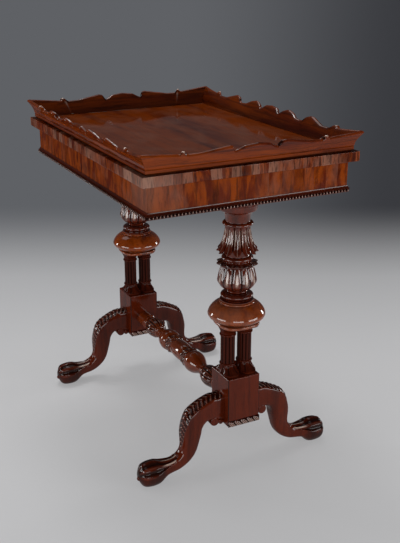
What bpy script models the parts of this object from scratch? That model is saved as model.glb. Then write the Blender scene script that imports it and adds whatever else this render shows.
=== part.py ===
"""Tray-top work table with a scroll-cut gallery, a frieze drawer at the back and two carved end supports.

Metres, +Z up. X runs from support to support and Y across the table. The origin is on the floor, at the
centre. "right" is the +X end, "left" the -X end, "front" the -Y side and "back" the +Y side, which holds
the drawer.
"""
import math

import bmesh
import bpy
from mathutils import Matrix, Vector

# Fits between pieces
GLUE_GAP = 0.0003
SLIDE_GAP = 0.0008
MITRE_GAP = GLUE_GAP / math.sqrt(2)

# Heights, stacked from the floor up
BLOCK_CLEARANCE = 0.1138
BLOCK_HEIGHT = 0.1145
COLUMN_HEIGHT = 0.113
CAP_HEIGHT = 0.007
BUN_HEIGHT = 0.049
RING_HEIGHT = 0.0225
CUP_HEIGHT = 0.052
COLLAR_HEIGHT = 0.021
LOTUS_HEIGHT = 0.066
ASTRAGAL_HEIGHT = 0.010
CAPITAL_HEIGHT = 0.049
FRIEZE_HEIGHT = 0.0655
TOP_THICKNESS = 0.0215
GALLERY_HEIGHT = 0.0425

# Plan of the top, and the supports' distance in from its ends
FRIEZE_LENGTH = 0.652
FRIEZE_DEPTH = 0.456
FRIEZE_THICKNESS = 0.020
TOP_OVERHANG = 0.016
TOP_LIP = 0.003
TRAY_RISE = 0.0015
SUPPORT_INSET = 0.058

# Gallery section and the depth of its scroll-cut top edge
GALLERY_INSET = 0.009
GALLERY_FLARE = 0.0135
GALLERY_HOLLOW_POWER = 1.7
GALLERY_BASE_THICKNESS = 0.013
GALLERY_EDGE_THICKNESS = 0.007
GALLERY_FILLET_HEIGHT = 0.0095
QUIRK_HEIGHT = 0.0028
QUIRK_DEPTH = 0.003
SCROLL_DEPTH = 0.013

# Half outlines of the top edge, from the middle of a side to its corner: share of the half length and share
# of the scroll depth cut away
LONG_SCROLL = [(0.0, 0.08), (0.045, 0.25), (0.088, 0.95), (0.10, 1.0), (0.125, 0.45), (0.165, 0.08),
               (0.19, 0.0), (0.25, 0.3), (0.31, 0.9), (0.37, 1.0), (0.40, 0.85), (0.41, 0.3), (0.44, 0.05),
               (0.47, 0.0), (0.53, 0.35), (0.61, 0.85), (0.70, 0.85), (0.725, 0.3), (0.75, 0.2),
               (0.765, 0.6), (0.87, 0.35), (1.0, 0.0)]
SHORT_SCROLL = [(0.0, 0.05), (0.09, 0.3), (0.155, 0.9), (0.185, 1.0), (0.195, 0.15), (0.23, 0.0),
                (0.34, 0.3), (0.50, 0.7), (0.635, 0.75), (0.655, 0.25), (0.68, 0.15), (0.695, 0.6),
                (0.80, 0.4), (1.0, 0.0)]

# Beaded moulding along the foot of the frieze
BEAD_PROJECTION = 0.0065
BEAD_TOE = 0.004
BEAD_TOE_HEIGHT = 0.0026
BEAD_HEIGHT = 0.0075
BEAD_COVE_HEIGHT = 0.006
BEAD_FILLET = 0.0018

# Columns, and the block and cap that hold a pair of them
COLUMN_RADIUS = 0.0156
COLUMN_GAP = 0.0095
COLUMN_REEDS = 12
REED_DEPTH = 0.0018
COLUMN_BASE_RADIUS = 0.018
COLUMN_BASE_HEIGHT = 0.021
COLUMN_BASE_EDGE = 0.004
COLUMN_BASE_SQUARENESS = 3
COLUMN_RING_RADIUS = 0.0182
COLUMN_RING_HEIGHT = 0.005
COLUMN_HEAD_HEIGHT = 0.024
COLUMN_HEAD_MARGIN = 0.002
COLUMN_HEAD_SQUARENESS = 6
COLUMN_HEAD_POWER = 1.8
COLUMN_TENON_RADIUS = 0.0065
COLUMN_TENON_LENGTH = 0.0045
BLOCK_MARGIN = 0.0003
BLOCK_EDGE = 0.0012
CAP_MARGIN = 0.0012
CAP_EDGE = 0.0017

# Bun and lotus baluster
BUN_RADIUS = 0.062
BUN_NECK_RADIUS = 0.030
BUN_FOOT_RADIUS = 0.0345
RING_RADIUS = 0.0345
RING_FILLET_HEIGHT = 0.0032
CUP_RADIUS = 0.0415
CUP_NECK_RADIUS = 0.019
CUP_SHOULDER_DROP = 0.022
COLLAR_RADIUS = 0.0435
COLLAR_NECK_RADIUS = 0.0305
COLLAR_DROP = 0.004
LOTUS_RADIUS = 0.0445
LOTUS_NECK_RADIUS = 0.0283
LOTUS_TIP_RISE = 0.0105
LOTUS_CURL = 0.004
ASTRAGAL_RADIUS = 0.0305
CAPITAL_RADIUS = 0.041
CAPITAL_NECK_RADIUS = 0.0265
CAPITAL_RIM_HEIGHT = 0.022
LEAF_COUNT = 12
LEAF_DEPTH = 0.0055
LOBE_DEPTH = 0.0032
PILLAR_TENON_RADIUS = 0.009
PILLAR_TENON_LENGTH = 0.0045
HEAD_TENON_RADIUS = 0.012
HEAD_TENON_LENGTH = 0.022

# Carved leaf strips at the foot of the blocks
STRIP_HEIGHT = 0.014
STRIP_PROJECTION = 0.0045
STRIP_EDGE = 0.0016

# Cabriole legs, in the plane of their support
LEG_REACH = 0.237
LEG_ROOT_DEPTH = 0.069
LEG_KNEE_DEPTH = 0.059
LEG_SHANK_DEPTH = 0.035
LEG_ANKLE_DEPTH = 0.030
LEG_ROOT_WIDTH = 0.040
LEG_KNEE_WIDTH = 0.042
LEG_ANKLE_WIDTH = 0.033
LEG_LOBE_DROP = 0.0045
LEG_LOBE_REACH = 0.024
LEG_TENON_WIDTH = 0.018
LEG_TENON_DEPTH = 0.044
LEG_TENON_LENGTH = 0.012
FOOT_HEIGHT = 0.0565
FOOT_WIDTH = 0.051
FOOT_LENGTH = 0.055
FOOT_FLAT = 0.0012

# Stretcher, turned along X, at its height above the foot of the blocks
STRETCHER_RISE = 0.0475
STRETCHER_BULB_RADIUS = 0.0225
STRETCHER_NOTCH_RADIUS = 0.0175
STRETCHER_RING_RADIUS = 0.0245
STRETCHER_VASE_RADIUS = 0.0265
STRETCHER_NECK_RADIUS = 0.0125
STRETCHER_COLLAR_RADIUS = 0.016
STRETCHER_COLLAR_WIDTH = 0.007
STRETCHER_CUSHION_RADIUS = 0.0245
STRETCHER_END_RADIUS = 0.019
STRETCHER_END_RING = 0.012
STRETCHER_TENON_RADIUS = 0.010
STRETCHER_TENON_LENGTH = 0.020

# Where the stretcher's bulb, ring, vase and cushion end, as shares of its half length
BULB_END, RING_END, VASE_END, CUSHION_END = 0.14, 0.225, 0.533, 0.80
VASE_BELLY = 0.26

# Bearers and drawer
DRAWER_BACK_SPACE = 0.036
DRAWER_FRONT_THICKNESS = 0.018
DRAWER_SIDE_THICKNESS = 0.009
DRAWER_BACK_THICKNESS = 0.008
DRAWER_BOTTOM_THICKNESS = 0.005
DRAWER_BOTTOM_RISE = 0.006
DRAWER_GROOVE_DEPTH = 0.004
RAIL_MARGIN = 0.016
RUNNER_WIDTH = 0.014
KICKER_HEIGHT = 0.005
STOP_WIDTH = 0.030
STOP_LENGTH = 0.012
STOP_CLEARANCE = 0.002
KNOB_RADIUS = 0.011
KNOB_PROJECTION = 0.0175
KNOB_HEAD_THICKNESS = 0.0095
KNOB_NECK_RADIUS = 0.006
KNOB_FOOT_RADIUS = 0.0085
KNOB_FOOT_HEIGHT = 0.0025
KNOB_INSET = 0.085
KNOB_TENON_RADIUS = 0.004
KNOB_TENON_COVER = 0.006

# Smoothness of round pieces
TURNED_SIDES = 24
STRETCHER_SIDES = 16
BORE_SIDES = 12
LEG_SIDES = 12
LEG_STEPS_PER_STATION = 2
LOTUS_STEPS = 4
COLUMN_HEAD_STEPS = 3
SHARP_ANGLE = math.radians(35)

# Levels worked out from the stack
BLOCK_TOP = BLOCK_CLEARANCE + BLOCK_HEIGHT
COLUMN_TOP = BLOCK_TOP + COLUMN_HEIGHT
CAP_TOP = COLUMN_TOP + CAP_HEIGHT
BUN_TOP = CAP_TOP + BUN_HEIGHT
CUP_TOP = RING_HEIGHT + CUP_HEIGHT
LOTUS_FOOT = CUP_TOP + COLLAR_HEIGHT
LOTUS_TOP = LOTUS_FOOT + LOTUS_HEIGHT
CAPITAL_FOOT = LOTUS_TOP + ASTRAGAL_HEIGHT
BALUSTER_HEIGHT = CAPITAL_FOOT + CAPITAL_HEIGHT
FRIEZE_BOTTOM = BUN_TOP + BALUSTER_HEIGHT
FRIEZE_TOP = FRIEZE_BOTTOM + FRIEZE_HEIGHT
REBATE_FLOOR = FRIEZE_TOP + TOP_THICKNESS
LEG_ROOT_MIDDLE = BLOCK_CLEARANCE + LEG_ROOT_DEPTH / 2
STRETCHER_HEIGHT = BLOCK_CLEARANCE + STRETCHER_RISE
BEAD_TOP = BEAD_HEIGHT + BEAD_COVE_HEIGHT
DRAWER_FLOOR = FRIEZE_BOTTOM + BEAD_TOP
DRAWER_CEILING = FRIEZE_TOP - GLUE_GAP - KICKER_HEIGHT
DRAWER_SIDE_BOTTOM = DRAWER_FLOOR + GLUE_GAP
DRAWER_BOTTOM_LOW = DRAWER_SIDE_BOTTOM + DRAWER_BOTTOM_RISE
KNOB_HEIGHT = (DRAWER_FLOOR + FRIEZE_TOP) / 2

# Places worked out from the plan
HALF_LENGTH = FRIEZE_LENGTH / 2
HALF_DEPTH = FRIEZE_DEPTH / 2
SUPPORT_X = HALF_LENGTH - SUPPORT_INSET
COLUMN_Y = COLUMN_RADIUS + COLUMN_GAP / 2
BLOCK_FACE = COLUMN_Y + COLUMN_BASE_RADIUS + BLOCK_MARGIN
CAP_FACE = COLUMN_Y + COLUMN_RADIUS + CAP_MARGIN
FRIEZE_INNER_Y = HALF_DEPTH - FRIEZE_THICKNESS - GLUE_GAP
BEARER_HALF = SUPPORT_INSET - FRIEZE_THICKNESS - GLUE_GAP
BEARER_INNER = SUPPORT_X - BEARER_HALF
DRAWER_HALF_WIDTH = BEARER_INNER - SLIDE_GAP
DRAWER_FRONT_INNER = HALF_DEPTH - DRAWER_FRONT_THICKNESS
DRAWER_BACK_END = DRAWER_BACK_SPACE - FRIEZE_INNER_Y
RAIL_DEPTH = DRAWER_FRONT_THICKNESS + STOP_LENGTH + RAIL_MARGIN
KNOB_X = DRAWER_HALF_WIDTH - KNOB_INSET
KNOB_TENON_LENGTH = DRAWER_FRONT_THICKNESS - KNOB_TENON_COVER

# Outward direction and direction along each side of the top, with its distance out and half length
SIDES = {
    "front": (Vector((0, -1, 0)), Vector((1, 0, 0)), HALF_DEPTH, HALF_LENGTH),
    "back": (Vector((0, 1, 0)), Vector((-1, 0, 0)), HALF_DEPTH, HALF_LENGTH),
    "right": (Vector((1, 0, 0)), Vector((0, 1, 0)), HALF_LENGTH, HALF_DEPTH),
    "left": (Vector((-1, 0, 0)), Vector((0, -1, 0)), HALF_LENGTH, HALF_DEPTH),
}
ENDS = {"right": 1, "left": -1}
FACES = {"front": -1, "back": 1}

# Colour and roughness of each finish
FINISHES = {
    "rosewood_veneer": ("5a2513", 0.22),
    "rosewood_crossband": ("74381d", 0.24),
    "rosewood_solid": ("43190f", 0.22),
    "rosewood_carved": ("3a170f", 0.30),
    "mahogany_lining": ("7a4a2a", 0.45),
}

for old in list(bpy.data.objects):
    bpy.data.objects.remove(old, do_unlink=True)


def hex_colour(text):
    """Turn an sRGB hex colour into linear RGBA."""
    values = [int(text[i:i + 2], 16) / 255 for i in (0, 2, 4)]
    return [v / 12.92 if v <= 0.04045 else ((v + 0.055) / 1.055) ** 2.4 for v in values] + [1.0]


def own_material(obj, finish):
    """Give an object its own material in one of the finishes."""
    colour, roughness = FINISHES[finish]
    material = bpy.data.materials.new(obj.name + "_" + finish)
    material.use_nodes = True
    shader = material.node_tree.nodes["Principled BSDF"]
    shader.inputs["Base Color"].default_value = hex_colour(colour)
    shader.inputs["Roughness"].default_value = roughness
    shader.inputs["Metallic"].default_value = 0.0
    obj.data.materials.append(material)


def add_object(name, bm, finish, location=(0, 0, 0), parent=None, smooth=False):
    """Close a bmesh into a named object."""
    bmesh.ops.recalc_face_normals(bm, faces=bm.faces)
    mesh = bpy.data.meshes.new(name)
    bm.to_mesh(mesh)
    bm.free()
    obj = bpy.data.objects.new(name, mesh)
    bpy.context.scene.collection.objects.link(obj)
    obj.location = location
    own_material(obj, finish)
    if smooth:
        mesh.shade_smooth()
        mesh.set_sharp_from_angle(angle=SHARP_ANGLE)
    if parent:
        obj.parent = parent
    return obj


def add_box(bm, low, high):
    """Add a box between two corners."""
    size = [h - l for l, h in zip(low, high)]
    middle = [(l + h) / 2 for l, h in zip(low, high)]
    matrix = Matrix.Translation(middle) @ Matrix.Diagonal((*size, 1))
    bmesh.ops.create_cube(bm, size=1, matrix=matrix)


def add_peg(bm, radius, start, end):
    """Add a round peg between two points, wide enough that its flats clear the radius."""
    axis = Vector(end) - Vector(start)
    turn = Vector((0, 0, 1)).rotation_difference(axis).to_matrix().to_4x4()
    matrix = Matrix.Translation((Vector(start) + Vector(end)) / 2) @ turn
    outer = radius / math.cos(math.pi / BORE_SIDES)
    bmesh.ops.create_cone(bm, cap_ends=True, segments=BORE_SIDES, radius1=outer, radius2=outer,
                          depth=axis.length, matrix=matrix)


def board(name, low, high, finish, parent=None, edge=0.0):
    """A sawn board between two corners, with its edges taken off where asked."""
    bm = bmesh.new()
    offset = Vector(parent.location) if parent else Vector((0, 0, 0))
    add_box(bm, Vector(low) - offset, Vector(high) - offset)
    if edge:
        bmesh.ops.bevel(bm, geom=bm.edges[:], offset=edge, segments=1, affect="EDGES")
    return add_object(name, bm, finish, parent=parent)


def cut(obj, name, fill):
    """Cut an object with a hidden cutter whose mesh the fill function makes in world places."""
    bm = bmesh.new()
    fill(bm)
    cutter = add_object(name, bm, "mahogany_lining")
    cutter.hide_render = True
    cutter.display_type = "WIRE"
    modifier = obj.modifiers.new(name, "BOOLEAN")
    modifier.operation = "DIFFERENCE"
    modifier.solver = "EXACT"
    modifier.object = cutter


def quarter(start, end, steps, radius_first):
    """Points of a quarter ellipse between two profile points, after the start point."""
    points = []
    for i in range(1, steps + 1):
        a = math.pi / 2 * i / steps
        fast, slow = math.sin(a), 1 - math.cos(a)
        u, v = (fast, slow) if radius_first else (slow, fast)
        points.append((start[0] + (end[0] - start[0]) * u, start[1] + (end[1] - start[1]) * v))
    return points


def ogee(start, end, steps):
    """Points of an S-curve between two profile points, after the start point."""
    points = []
    for i in range(1, steps + 1):
        share = i / steps
        ease = (1 - math.cos(math.pi * share)) / 2
        points.append((start[0] + (end[0] - start[0]) * ease, start[1] + (end[1] - start[1]) * share))
    return points


def swell(inner, outer, top, bottom, steps):
    """A rounded moulding from top to bottom, without its first point: out to its belly and back in."""
    middle = (top + bottom) / 2
    upper = quarter((inner, top), (outer, middle), steps, True)
    lower = quarter((outer, middle), (inner, bottom), steps, False)
    return upper + lower


def turned(name, profile, finish, location, sides=TURNED_SIDES, relief=None, along_x=False, parent=None,
           closed=False):
    """A turned piece: (radius, height) points, listed from the top down and spun round the axis."""
    bm = bmesh.new()
    verts = [bm.verts.new((r, 0, z)) for r, z in profile]
    pairs = list(zip(verts, verts[1:])) + ([(verts[-1], verts[0])] if closed else [])
    edges = [bm.edges.new(pair) for pair in pairs]
    bmesh.ops.spin(bm, geom=verts + edges, cent=(0, 0, 0), axis=(0, 0, 1), angle=2 * math.pi, steps=sides,
                   use_merge=True)
    bmesh.ops.remove_doubles(bm, verts=bm.verts, dist=1e-6)
    if relief:
        for vert in bm.verts:
            radius = math.hypot(vert.co.x, vert.co.y)
            if radius > 1e-6:
                factor = relief(math.atan2(vert.co.y, vert.co.x), radius, vert.co.z) / radius
                vert.co.x *= factor
                vert.co.y *= factor
    if along_x:
        bmesh.ops.rotate(bm, verts=bm.verts, cent=(0, 0, 0), matrix=Matrix.Rotation(math.pi / 2, 3, "Y"))
    return add_object(name, bm, finish, location, parent, smooth=True)


def valley(angle, count):
    """0 on the crest of each of count equal lobes round the axis, 1 in the valley between them."""
    return (1 - math.cos(count * angle)) / 2


def bridge_rings(bm, rings):
    """Skin a row of closed vertex rings and cap both ends."""
    for near, far in zip(rings, rings[1:]):
        for i in range(len(near)):
            j = (i + 1) % len(near)
            bm.faces.new((near[i], near[j], far[j], far[i]))
    bm.faces.new(rings[0])
    bm.faces.new(rings[-1])


def side_strip(name, side, section, stations, inset, bottom, finish, square_end=None):
    """A moulding along one side of the top, mitred at its corners.

    section(share) gives the (outward, up) points at a share of the half length, measured from a line set in
    by inset from the frieze face. square_end cuts the end at the first station square, at that distance.
    """
    outward, along, out_distance, half = SIDES[side]
    bm = bmesh.new()
    rings = []
    for share in stations:
        ring = []
        for n, z in section(abs(share)):
            reach = half - inset + n - MITRE_GAP
            t = share * reach if square_end is None or share != stations[0] else square_end
            place = along * t + outward * (out_distance - inset + n)
            ring.append(bm.verts.new((place.x, place.y, bottom + z)))
        rings.append(ring)
    bridge_rings(bm, rings)
    return add_object(name, bm, finish)


def gallery_flare(z):
    """How far the gallery's hollow face leans out at a height above its base."""
    rise = max(0.0, z - GALLERY_FILLET_HEIGHT) / (GALLERY_HEIGHT - GALLERY_FILLET_HEIGHT)
    return GALLERY_FLARE * rise ** GALLERY_HOLLOW_POWER


def gallery_section(scroll):
    """Section of the gallery at each share of a side: quirk, fillet, hollow face and scroll-cut top."""
    def section(share):
        for (s0, d0), (s1, d1) in zip(scroll, scroll[1:]):
            if s0 <= share <= s1:
                drop = d0 + (d1 - d0) * (share - s0) / (s1 - s0)
        top = GALLERY_HEIGHT - SCROLL_DEPTH * drop
        rise = top - GALLERY_FILLET_HEIGHT
        outer = [(-QUIRK_DEPTH, 0.0), (-QUIRK_DEPTH, QUIRK_HEIGHT), (0.0, QUIRK_HEIGHT),
                 (0.0, GALLERY_FILLET_HEIGHT)]
        outer += [(gallery_flare(z), z) for z in (top - rise * 0.6, top - rise * 0.25, top)]
        inner = [(gallery_flare(top) - GALLERY_EDGE_THICKNESS, top), (-GALLERY_BASE_THICKNESS, 0.0)]
        return outer + inner
    return section


def make_gallery():
    inset = GALLERY_INSET - TOP_OVERHANG
    for side in SIDES:
        scroll = LONG_SCROLL if side in FACES else SHORT_SCROLL
        shares = [s for s, _ in scroll]
        stations = [-s for s in reversed(shares[1:])] + shares
        side_strip("gallery_" + side, side, gallery_section(scroll), stations, inset, REBATE_FLOOR + GLUE_GAP,
                   "rosewood_solid")


def make_top_board():
    """Board with a moulded lower edge, rebated round its top, where the gallery stands."""
    bm = bmesh.new()
    reach = Vector((HALF_LENGTH + TOP_OVERHANG, HALF_DEPTH + TOP_OVERHANG, 0))
    add_box(bm, Vector((0, 0, FRIEZE_TOP)) - reach, Vector((0, 0, REBATE_FLOOR)) + reach)
    middle = (FRIEZE_TOP + REBATE_FLOOR) / 2
    lower = [e for e in bm.edges if all(v.co.z < middle for v in e.verts)]
    bmesh.ops.bevel(bm, geom=lower, offset=TOP_LIP, segments=2, affect="EDGES")
    top = max(bm.faces, key=lambda face: face.calc_center_median().z)
    rebate = GALLERY_INSET + GALLERY_BASE_THICKNESS + GLUE_GAP
    bmesh.ops.inset_region(bm, faces=[top], thickness=rebate, use_even_offset=True)
    floor = bmesh.ops.extrude_discrete_faces(bm, faces=[top])["faces"][0]
    bmesh.ops.translate(bm, verts=floor.verts, vec=(0, 0, TRAY_RISE))
    add_object("top_board", bm, "rosewood_crossband")


def make_frieze():
    height = FRIEZE_HEIGHT - GLUE_GAP
    face = [(0.0, 0.0), (0.0, height), (-FRIEZE_THICKNESS, height), (-FRIEZE_THICKNESS, 0.0)]
    for side in ("front", "right", "left"):
        side_strip("frieze_" + side, side, lambda share: face, (-1, 1), 0.0, FRIEZE_BOTTOM,
                   "rosewood_veneer")
    for end, sign in ENDS.items():
        # The back side's along direction is -X, so the right stile is the one at negative shares
        side_strip("frieze_stile_" + end, "back", lambda share: face, (0, -sign), 0.0, FRIEZE_BOTTOM,
                   "rosewood_veneer", square_end=-sign * BEARER_INNER)
    rail_end = BEARER_INNER - GLUE_GAP
    board("drawer_rail", (-rail_end, HALF_DEPTH - RAIL_DEPTH, FRIEZE_BOTTOM),
          (rail_end, HALF_DEPTH, DRAWER_FLOOR), "rosewood_solid")


def make_bead_mouldings():
    cove = quarter((BEAD_PROJECTION, BEAD_HEIGHT), (BEAD_FILLET, BEAD_TOP), 3, True)
    profile = [(GLUE_GAP, 0.0), (BEAD_TOE, 0.0), (BEAD_PROJECTION, BEAD_TOE_HEIGHT),
               (BEAD_PROJECTION, BEAD_HEIGHT)] + cove + [(GLUE_GAP, BEAD_TOP)]
    for side in SIDES:
        side_strip("bead_moulding_" + side, side, lambda share: profile, (-1, 1), 0.0, FRIEZE_BOTTOM,
                   "rosewood_carved")


def make_bearer(end, sign):
    """Board across the frame that carries the top and takes the head tenon of its support."""
    x = sign * SUPPORT_X
    bearer = board("cross_bearer_" + end, (x - BEARER_HALF, -FRIEZE_INNER_Y, FRIEZE_BOTTOM + GLUE_GAP),
                   (x + BEARER_HALF, FRIEZE_INNER_Y, FRIEZE_TOP - GLUE_GAP), "mahogany_lining")
    start = (x, 0, FRIEZE_BOTTOM - GLUE_GAP)
    end_point = (x, 0, FRIEZE_BOTTOM + HEAD_TENON_LENGTH + GLUE_GAP)
    cut(bearer, "cut_bearer_" + end, lambda bm: add_peg(bm, HEAD_TENON_RADIUS + GLUE_GAP, start, end_point))


def make_drawer_slides(end, sign):
    """Runner, kicker and stop on one side of the drawer."""
    outer = BEARER_INNER - GLUE_GAP
    x0, x1 = sorted((sign * (outer - RUNNER_WIDTH), sign * outer))
    rail_back = HALF_DEPTH - RAIL_DEPTH - GLUE_GAP
    stop_front = DRAWER_FRONT_INNER - GLUE_GAP
    board("drawer_runner_" + end, (x0, -FRIEZE_INNER_Y, FRIEZE_BOTTOM + GLUE_GAP),
          (x1, rail_back, DRAWER_FLOOR), "mahogany_lining")
    board("drawer_kicker_" + end, (x0, -FRIEZE_INNER_Y, DRAWER_CEILING),
          (x1, stop_front - STOP_LENGTH, FRIEZE_TOP - GLUE_GAP), "mahogany_lining")
    middle = sign * KNOB_X
    board("drawer_stop_" + end, (middle - STOP_WIDTH / 2, stop_front - STOP_LENGTH, DRAWER_FLOOR + GLUE_GAP),
          (middle + STOP_WIDTH / 2, stop_front, DRAWER_BOTTOM_LOW - STOP_CLEARANCE), "mahogany_lining")


def make_drawer():
    """Drawer box on an empty at its slide axis, closed at rest."""
    slide = bpy.data.objects.new("drawer_slide", None)
    slide.location = (0, HALF_DEPTH, DRAWER_FLOOR)
    bpy.context.scene.collection.objects.link(slide)
    half = DRAWER_HALF_WIDTH
    top = DRAWER_CEILING - SLIDE_GAP
    front = board("drawer_front", (-half, DRAWER_FRONT_INNER, DRAWER_FLOOR + SLIDE_GAP),
                  (half, HALF_DEPTH, FRIEZE_TOP - SLIDE_GAP), "rosewood_veneer", parent=slide)
    bore_end = HALF_DEPTH - KNOB_TENON_LENGTH - GLUE_GAP

    def knob_bores(bm):
        for sign in ENDS.values():
            add_peg(bm, KNOB_TENON_RADIUS + GLUE_GAP, (sign * KNOB_X, bore_end, KNOB_HEIGHT),
                    (sign * KNOB_X, HALF_DEPTH + GLUE_GAP, KNOB_HEIGHT))
    cut(front, "cut_drawer_front", knob_bores)
    box_front = DRAWER_FRONT_INNER - GLUE_GAP
    for end, sign in ENDS.items():
        make_drawer_side("drawer_side_" + end, sign, box_front, top, slide)
        make_knob("drawer_knob_" + end, (sign * KNOB_X, HALF_DEPTH + GLUE_GAP, KNOB_HEIGHT), slide)
    inner = half - DRAWER_SIDE_THICKNESS
    floor = DRAWER_BOTTOM_LOW + DRAWER_BOTTOM_THICKNESS
    reach = inner + DRAWER_GROOVE_DEPTH - GLUE_GAP
    board("drawer_bottom", (-reach, DRAWER_BACK_END, DRAWER_BOTTOM_LOW), (reach, box_front, floor),
          "mahogany_lining", parent=slide)
    board("drawer_back", (GLUE_GAP - inner, DRAWER_BACK_END, floor + GLUE_GAP),
          (inner - GLUE_GAP, DRAWER_BACK_END + DRAWER_BACK_THICKNESS, top), "mahogany_lining", parent=slide)


def make_drawer_side(name, sign, front_end, top, slide):
    """A drawer side: its section, with the groove for the bottom, drawn out along the drawer."""
    outer = DRAWER_HALF_WIDTH
    inner = outer - DRAWER_SIDE_THICKNESS
    groove = inner + DRAWER_GROOVE_DEPTH
    low = DRAWER_BOTTOM_LOW - GLUE_GAP
    high = DRAWER_BOTTOM_LOW + DRAWER_BOTTOM_THICKNESS + GLUE_GAP
    section = [(outer, DRAWER_SIDE_BOTTOM), (outer, top), (inner, top), (inner, high), (groove, high),
               (groove, low), (inner, low), (inner, DRAWER_SIDE_BOTTOM)]
    bm = bmesh.new()
    rings = []
    for y in (DRAWER_BACK_END, front_end):
        rings.append([bm.verts.new(Vector((sign * x, y, z)) - slide.location) for x, z in section])
    bridge_rings(bm, rings)
    add_object(name, bm, "mahogany_lining", parent=slide)


def make_knob(name, place, slide):
    """A turned knob with its tenon, pointing out of the drawer front."""
    length = KNOB_PROJECTION - GLUE_GAP
    head = length - KNOB_HEAD_THICKNESS
    profile = [(0.0, length)] + quarter((0.0, length), (KNOB_RADIUS, head), 3, True)
    profile += quarter((KNOB_RADIUS, head), (KNOB_NECK_RADIUS, KNOB_FOOT_HEIGHT), 2, False)
    profile += [(KNOB_FOOT_RADIUS, 0.0), (KNOB_TENON_RADIUS, 0.0), (KNOB_TENON_RADIUS, -KNOB_TENON_LENGTH),
                (0.0, -KNOB_TENON_LENGTH)]
    knob = turned(name, profile, "rosewood_solid", Vector(place) - slide.location, sides=BORE_SIDES,
                  parent=slide)
    knob.rotation_euler = (-math.pi / 2, 0, 0)


def make_baluster(end, sign):
    """Capital, astragal, lotus leaves, collar, lobed cup and ring, turned and carved from one piece."""
    head = BALUSTER_HEIGHT - GLUE_GAP
    rim = BALUSTER_HEIGHT - CAPITAL_RIM_HEIGHT
    tip = LOTUS_FOOT + LOTUS_TIP_RISE
    shoulder = CUP_TOP - CUP_SHOULDER_DROP
    tenon_end = -BUN_HEIGHT - PILLAR_TENON_LENGTH
    profile = [(0.0, head + HEAD_TENON_LENGTH), (HEAD_TENON_RADIUS, head + HEAD_TENON_LENGTH),
               (HEAD_TENON_RADIUS, head), (CAPITAL_RADIUS, head), (CAPITAL_RADIUS, rim)]
    profile += quarter((CAPITAL_RADIUS, rim), (CAPITAL_NECK_RADIUS, CAPITAL_FOOT), 3, True)
    profile += swell(CAPITAL_NECK_RADIUS, ASTRAGAL_RADIUS, CAPITAL_FOOT, LOTUS_TOP, 1)
    for i in range(1, LOTUS_STEPS + 1):
        t = i / LOTUS_STEPS
        flare = (LOTUS_RADIUS - LOTUS_NECK_RADIUS) * t ** 2
        profile.append((LOTUS_NECK_RADIUS + flare, LOTUS_TOP + (tip - LOTUS_TOP) * t))
    profile += [(LOTUS_RADIUS, tip - LOTUS_CURL), (COLLAR_NECK_RADIUS, tip - LOTUS_CURL)]
    profile.append((COLLAR_NECK_RADIUS, LOTUS_FOOT - COLLAR_DROP))
    profile += swell(COLLAR_NECK_RADIUS, COLLAR_RADIUS, LOTUS_FOOT - COLLAR_DROP, CUP_TOP, 2)
    profile += quarter((COLLAR_NECK_RADIUS, CUP_TOP), (CUP_RADIUS, shoulder), 2, True)
    profile += quarter((CUP_RADIUS, shoulder), (CUP_NECK_RADIUS, RING_HEIGHT), 3, False)
    profile += swell(CUP_NECK_RADIUS, RING_RADIUS, RING_HEIGHT, RING_FILLET_HEIGHT, 2)[:-1]
    profile += [(BUN_NECK_RADIUS, RING_FILLET_HEIGHT), (BUN_NECK_RADIUS, GLUE_GAP),
                (PILLAR_TENON_RADIUS, GLUE_GAP), (PILLAR_TENON_RADIUS, tenon_end), (0.0, tenon_end)]

    def carve(angle, radius, z):
        hollow = valley(angle, LEAF_COUNT)
        if tip - LOTUS_CURL * 1.5 < z < LOTUS_TOP - LOTUS_CURL and radius > LOTUS_NECK_RADIUS:
            flare = (radius - LOTUS_NECK_RADIUS) / (LOTUS_RADIUS - LOTUS_NECK_RADIUS)
            return radius - LEAF_DEPTH * hollow * max(flare, LOBE_DEPTH / LEAF_DEPTH)
        if RING_HEIGHT < z < CUP_TOP and radius > COLLAR_NECK_RADIUS:
            return radius - LOBE_DEPTH * hollow
        return radius
    turned("lotus_baluster_" + end, profile, "rosewood_carved", (sign * SUPPORT_X, 0, BUN_TOP), relief=carve)


def make_bun(end, sign):
    """Flattened ball with the bore for the baluster's tenon."""
    belly = BUN_HEIGHT / 2
    bore = PILLAR_TENON_RADIUS + GLUE_GAP
    profile = [(bore, BUN_HEIGHT), (BUN_NECK_RADIUS, BUN_HEIGHT)]
    profile += quarter((BUN_NECK_RADIUS, BUN_HEIGHT), (BUN_RADIUS, belly), 4, True)
    profile += quarter((BUN_RADIUS, belly), (BUN_FOOT_RADIUS, GLUE_GAP), 3, False)
    profile += [(bore, GLUE_GAP)]
    turned("bun_" + end, profile, "rosewood_solid", (sign * SUPPORT_X, 0, CAP_TOP), closed=True)


def column_places(sign):
    return {face: (sign * SUPPORT_X, side * COLUMN_Y) for face, side in FACES.items()}


def make_cap(end, sign):
    """Square cap over a pair of columns, bored for their tenons and the baluster's."""
    x = sign * SUPPORT_X
    cap = board("column_cap_" + end, (x - CAP_FACE, -CAP_FACE, COLUMN_TOP + GLUE_GAP),
                (x + CAP_FACE, CAP_FACE, CAP_TOP), "rosewood_solid", edge=CAP_EDGE)

    def bores(bm):
        for px, py in column_places(sign).values():
            add_peg(bm, COLUMN_TENON_RADIUS + GLUE_GAP, (px, py, COLUMN_TOP - GLUE_GAP),
                    (px, py, COLUMN_TOP + COLUMN_TENON_LENGTH + GLUE_GAP))
        add_peg(bm, PILLAR_TENON_RADIUS + GLUE_GAP, (x, 0, CAP_TOP - PILLAR_TENON_LENGTH - GLUE_GAP),
                (x, 0, CAP_TOP + GLUE_GAP))
    cut(cap, "cut_cap_" + end, bores)


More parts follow.
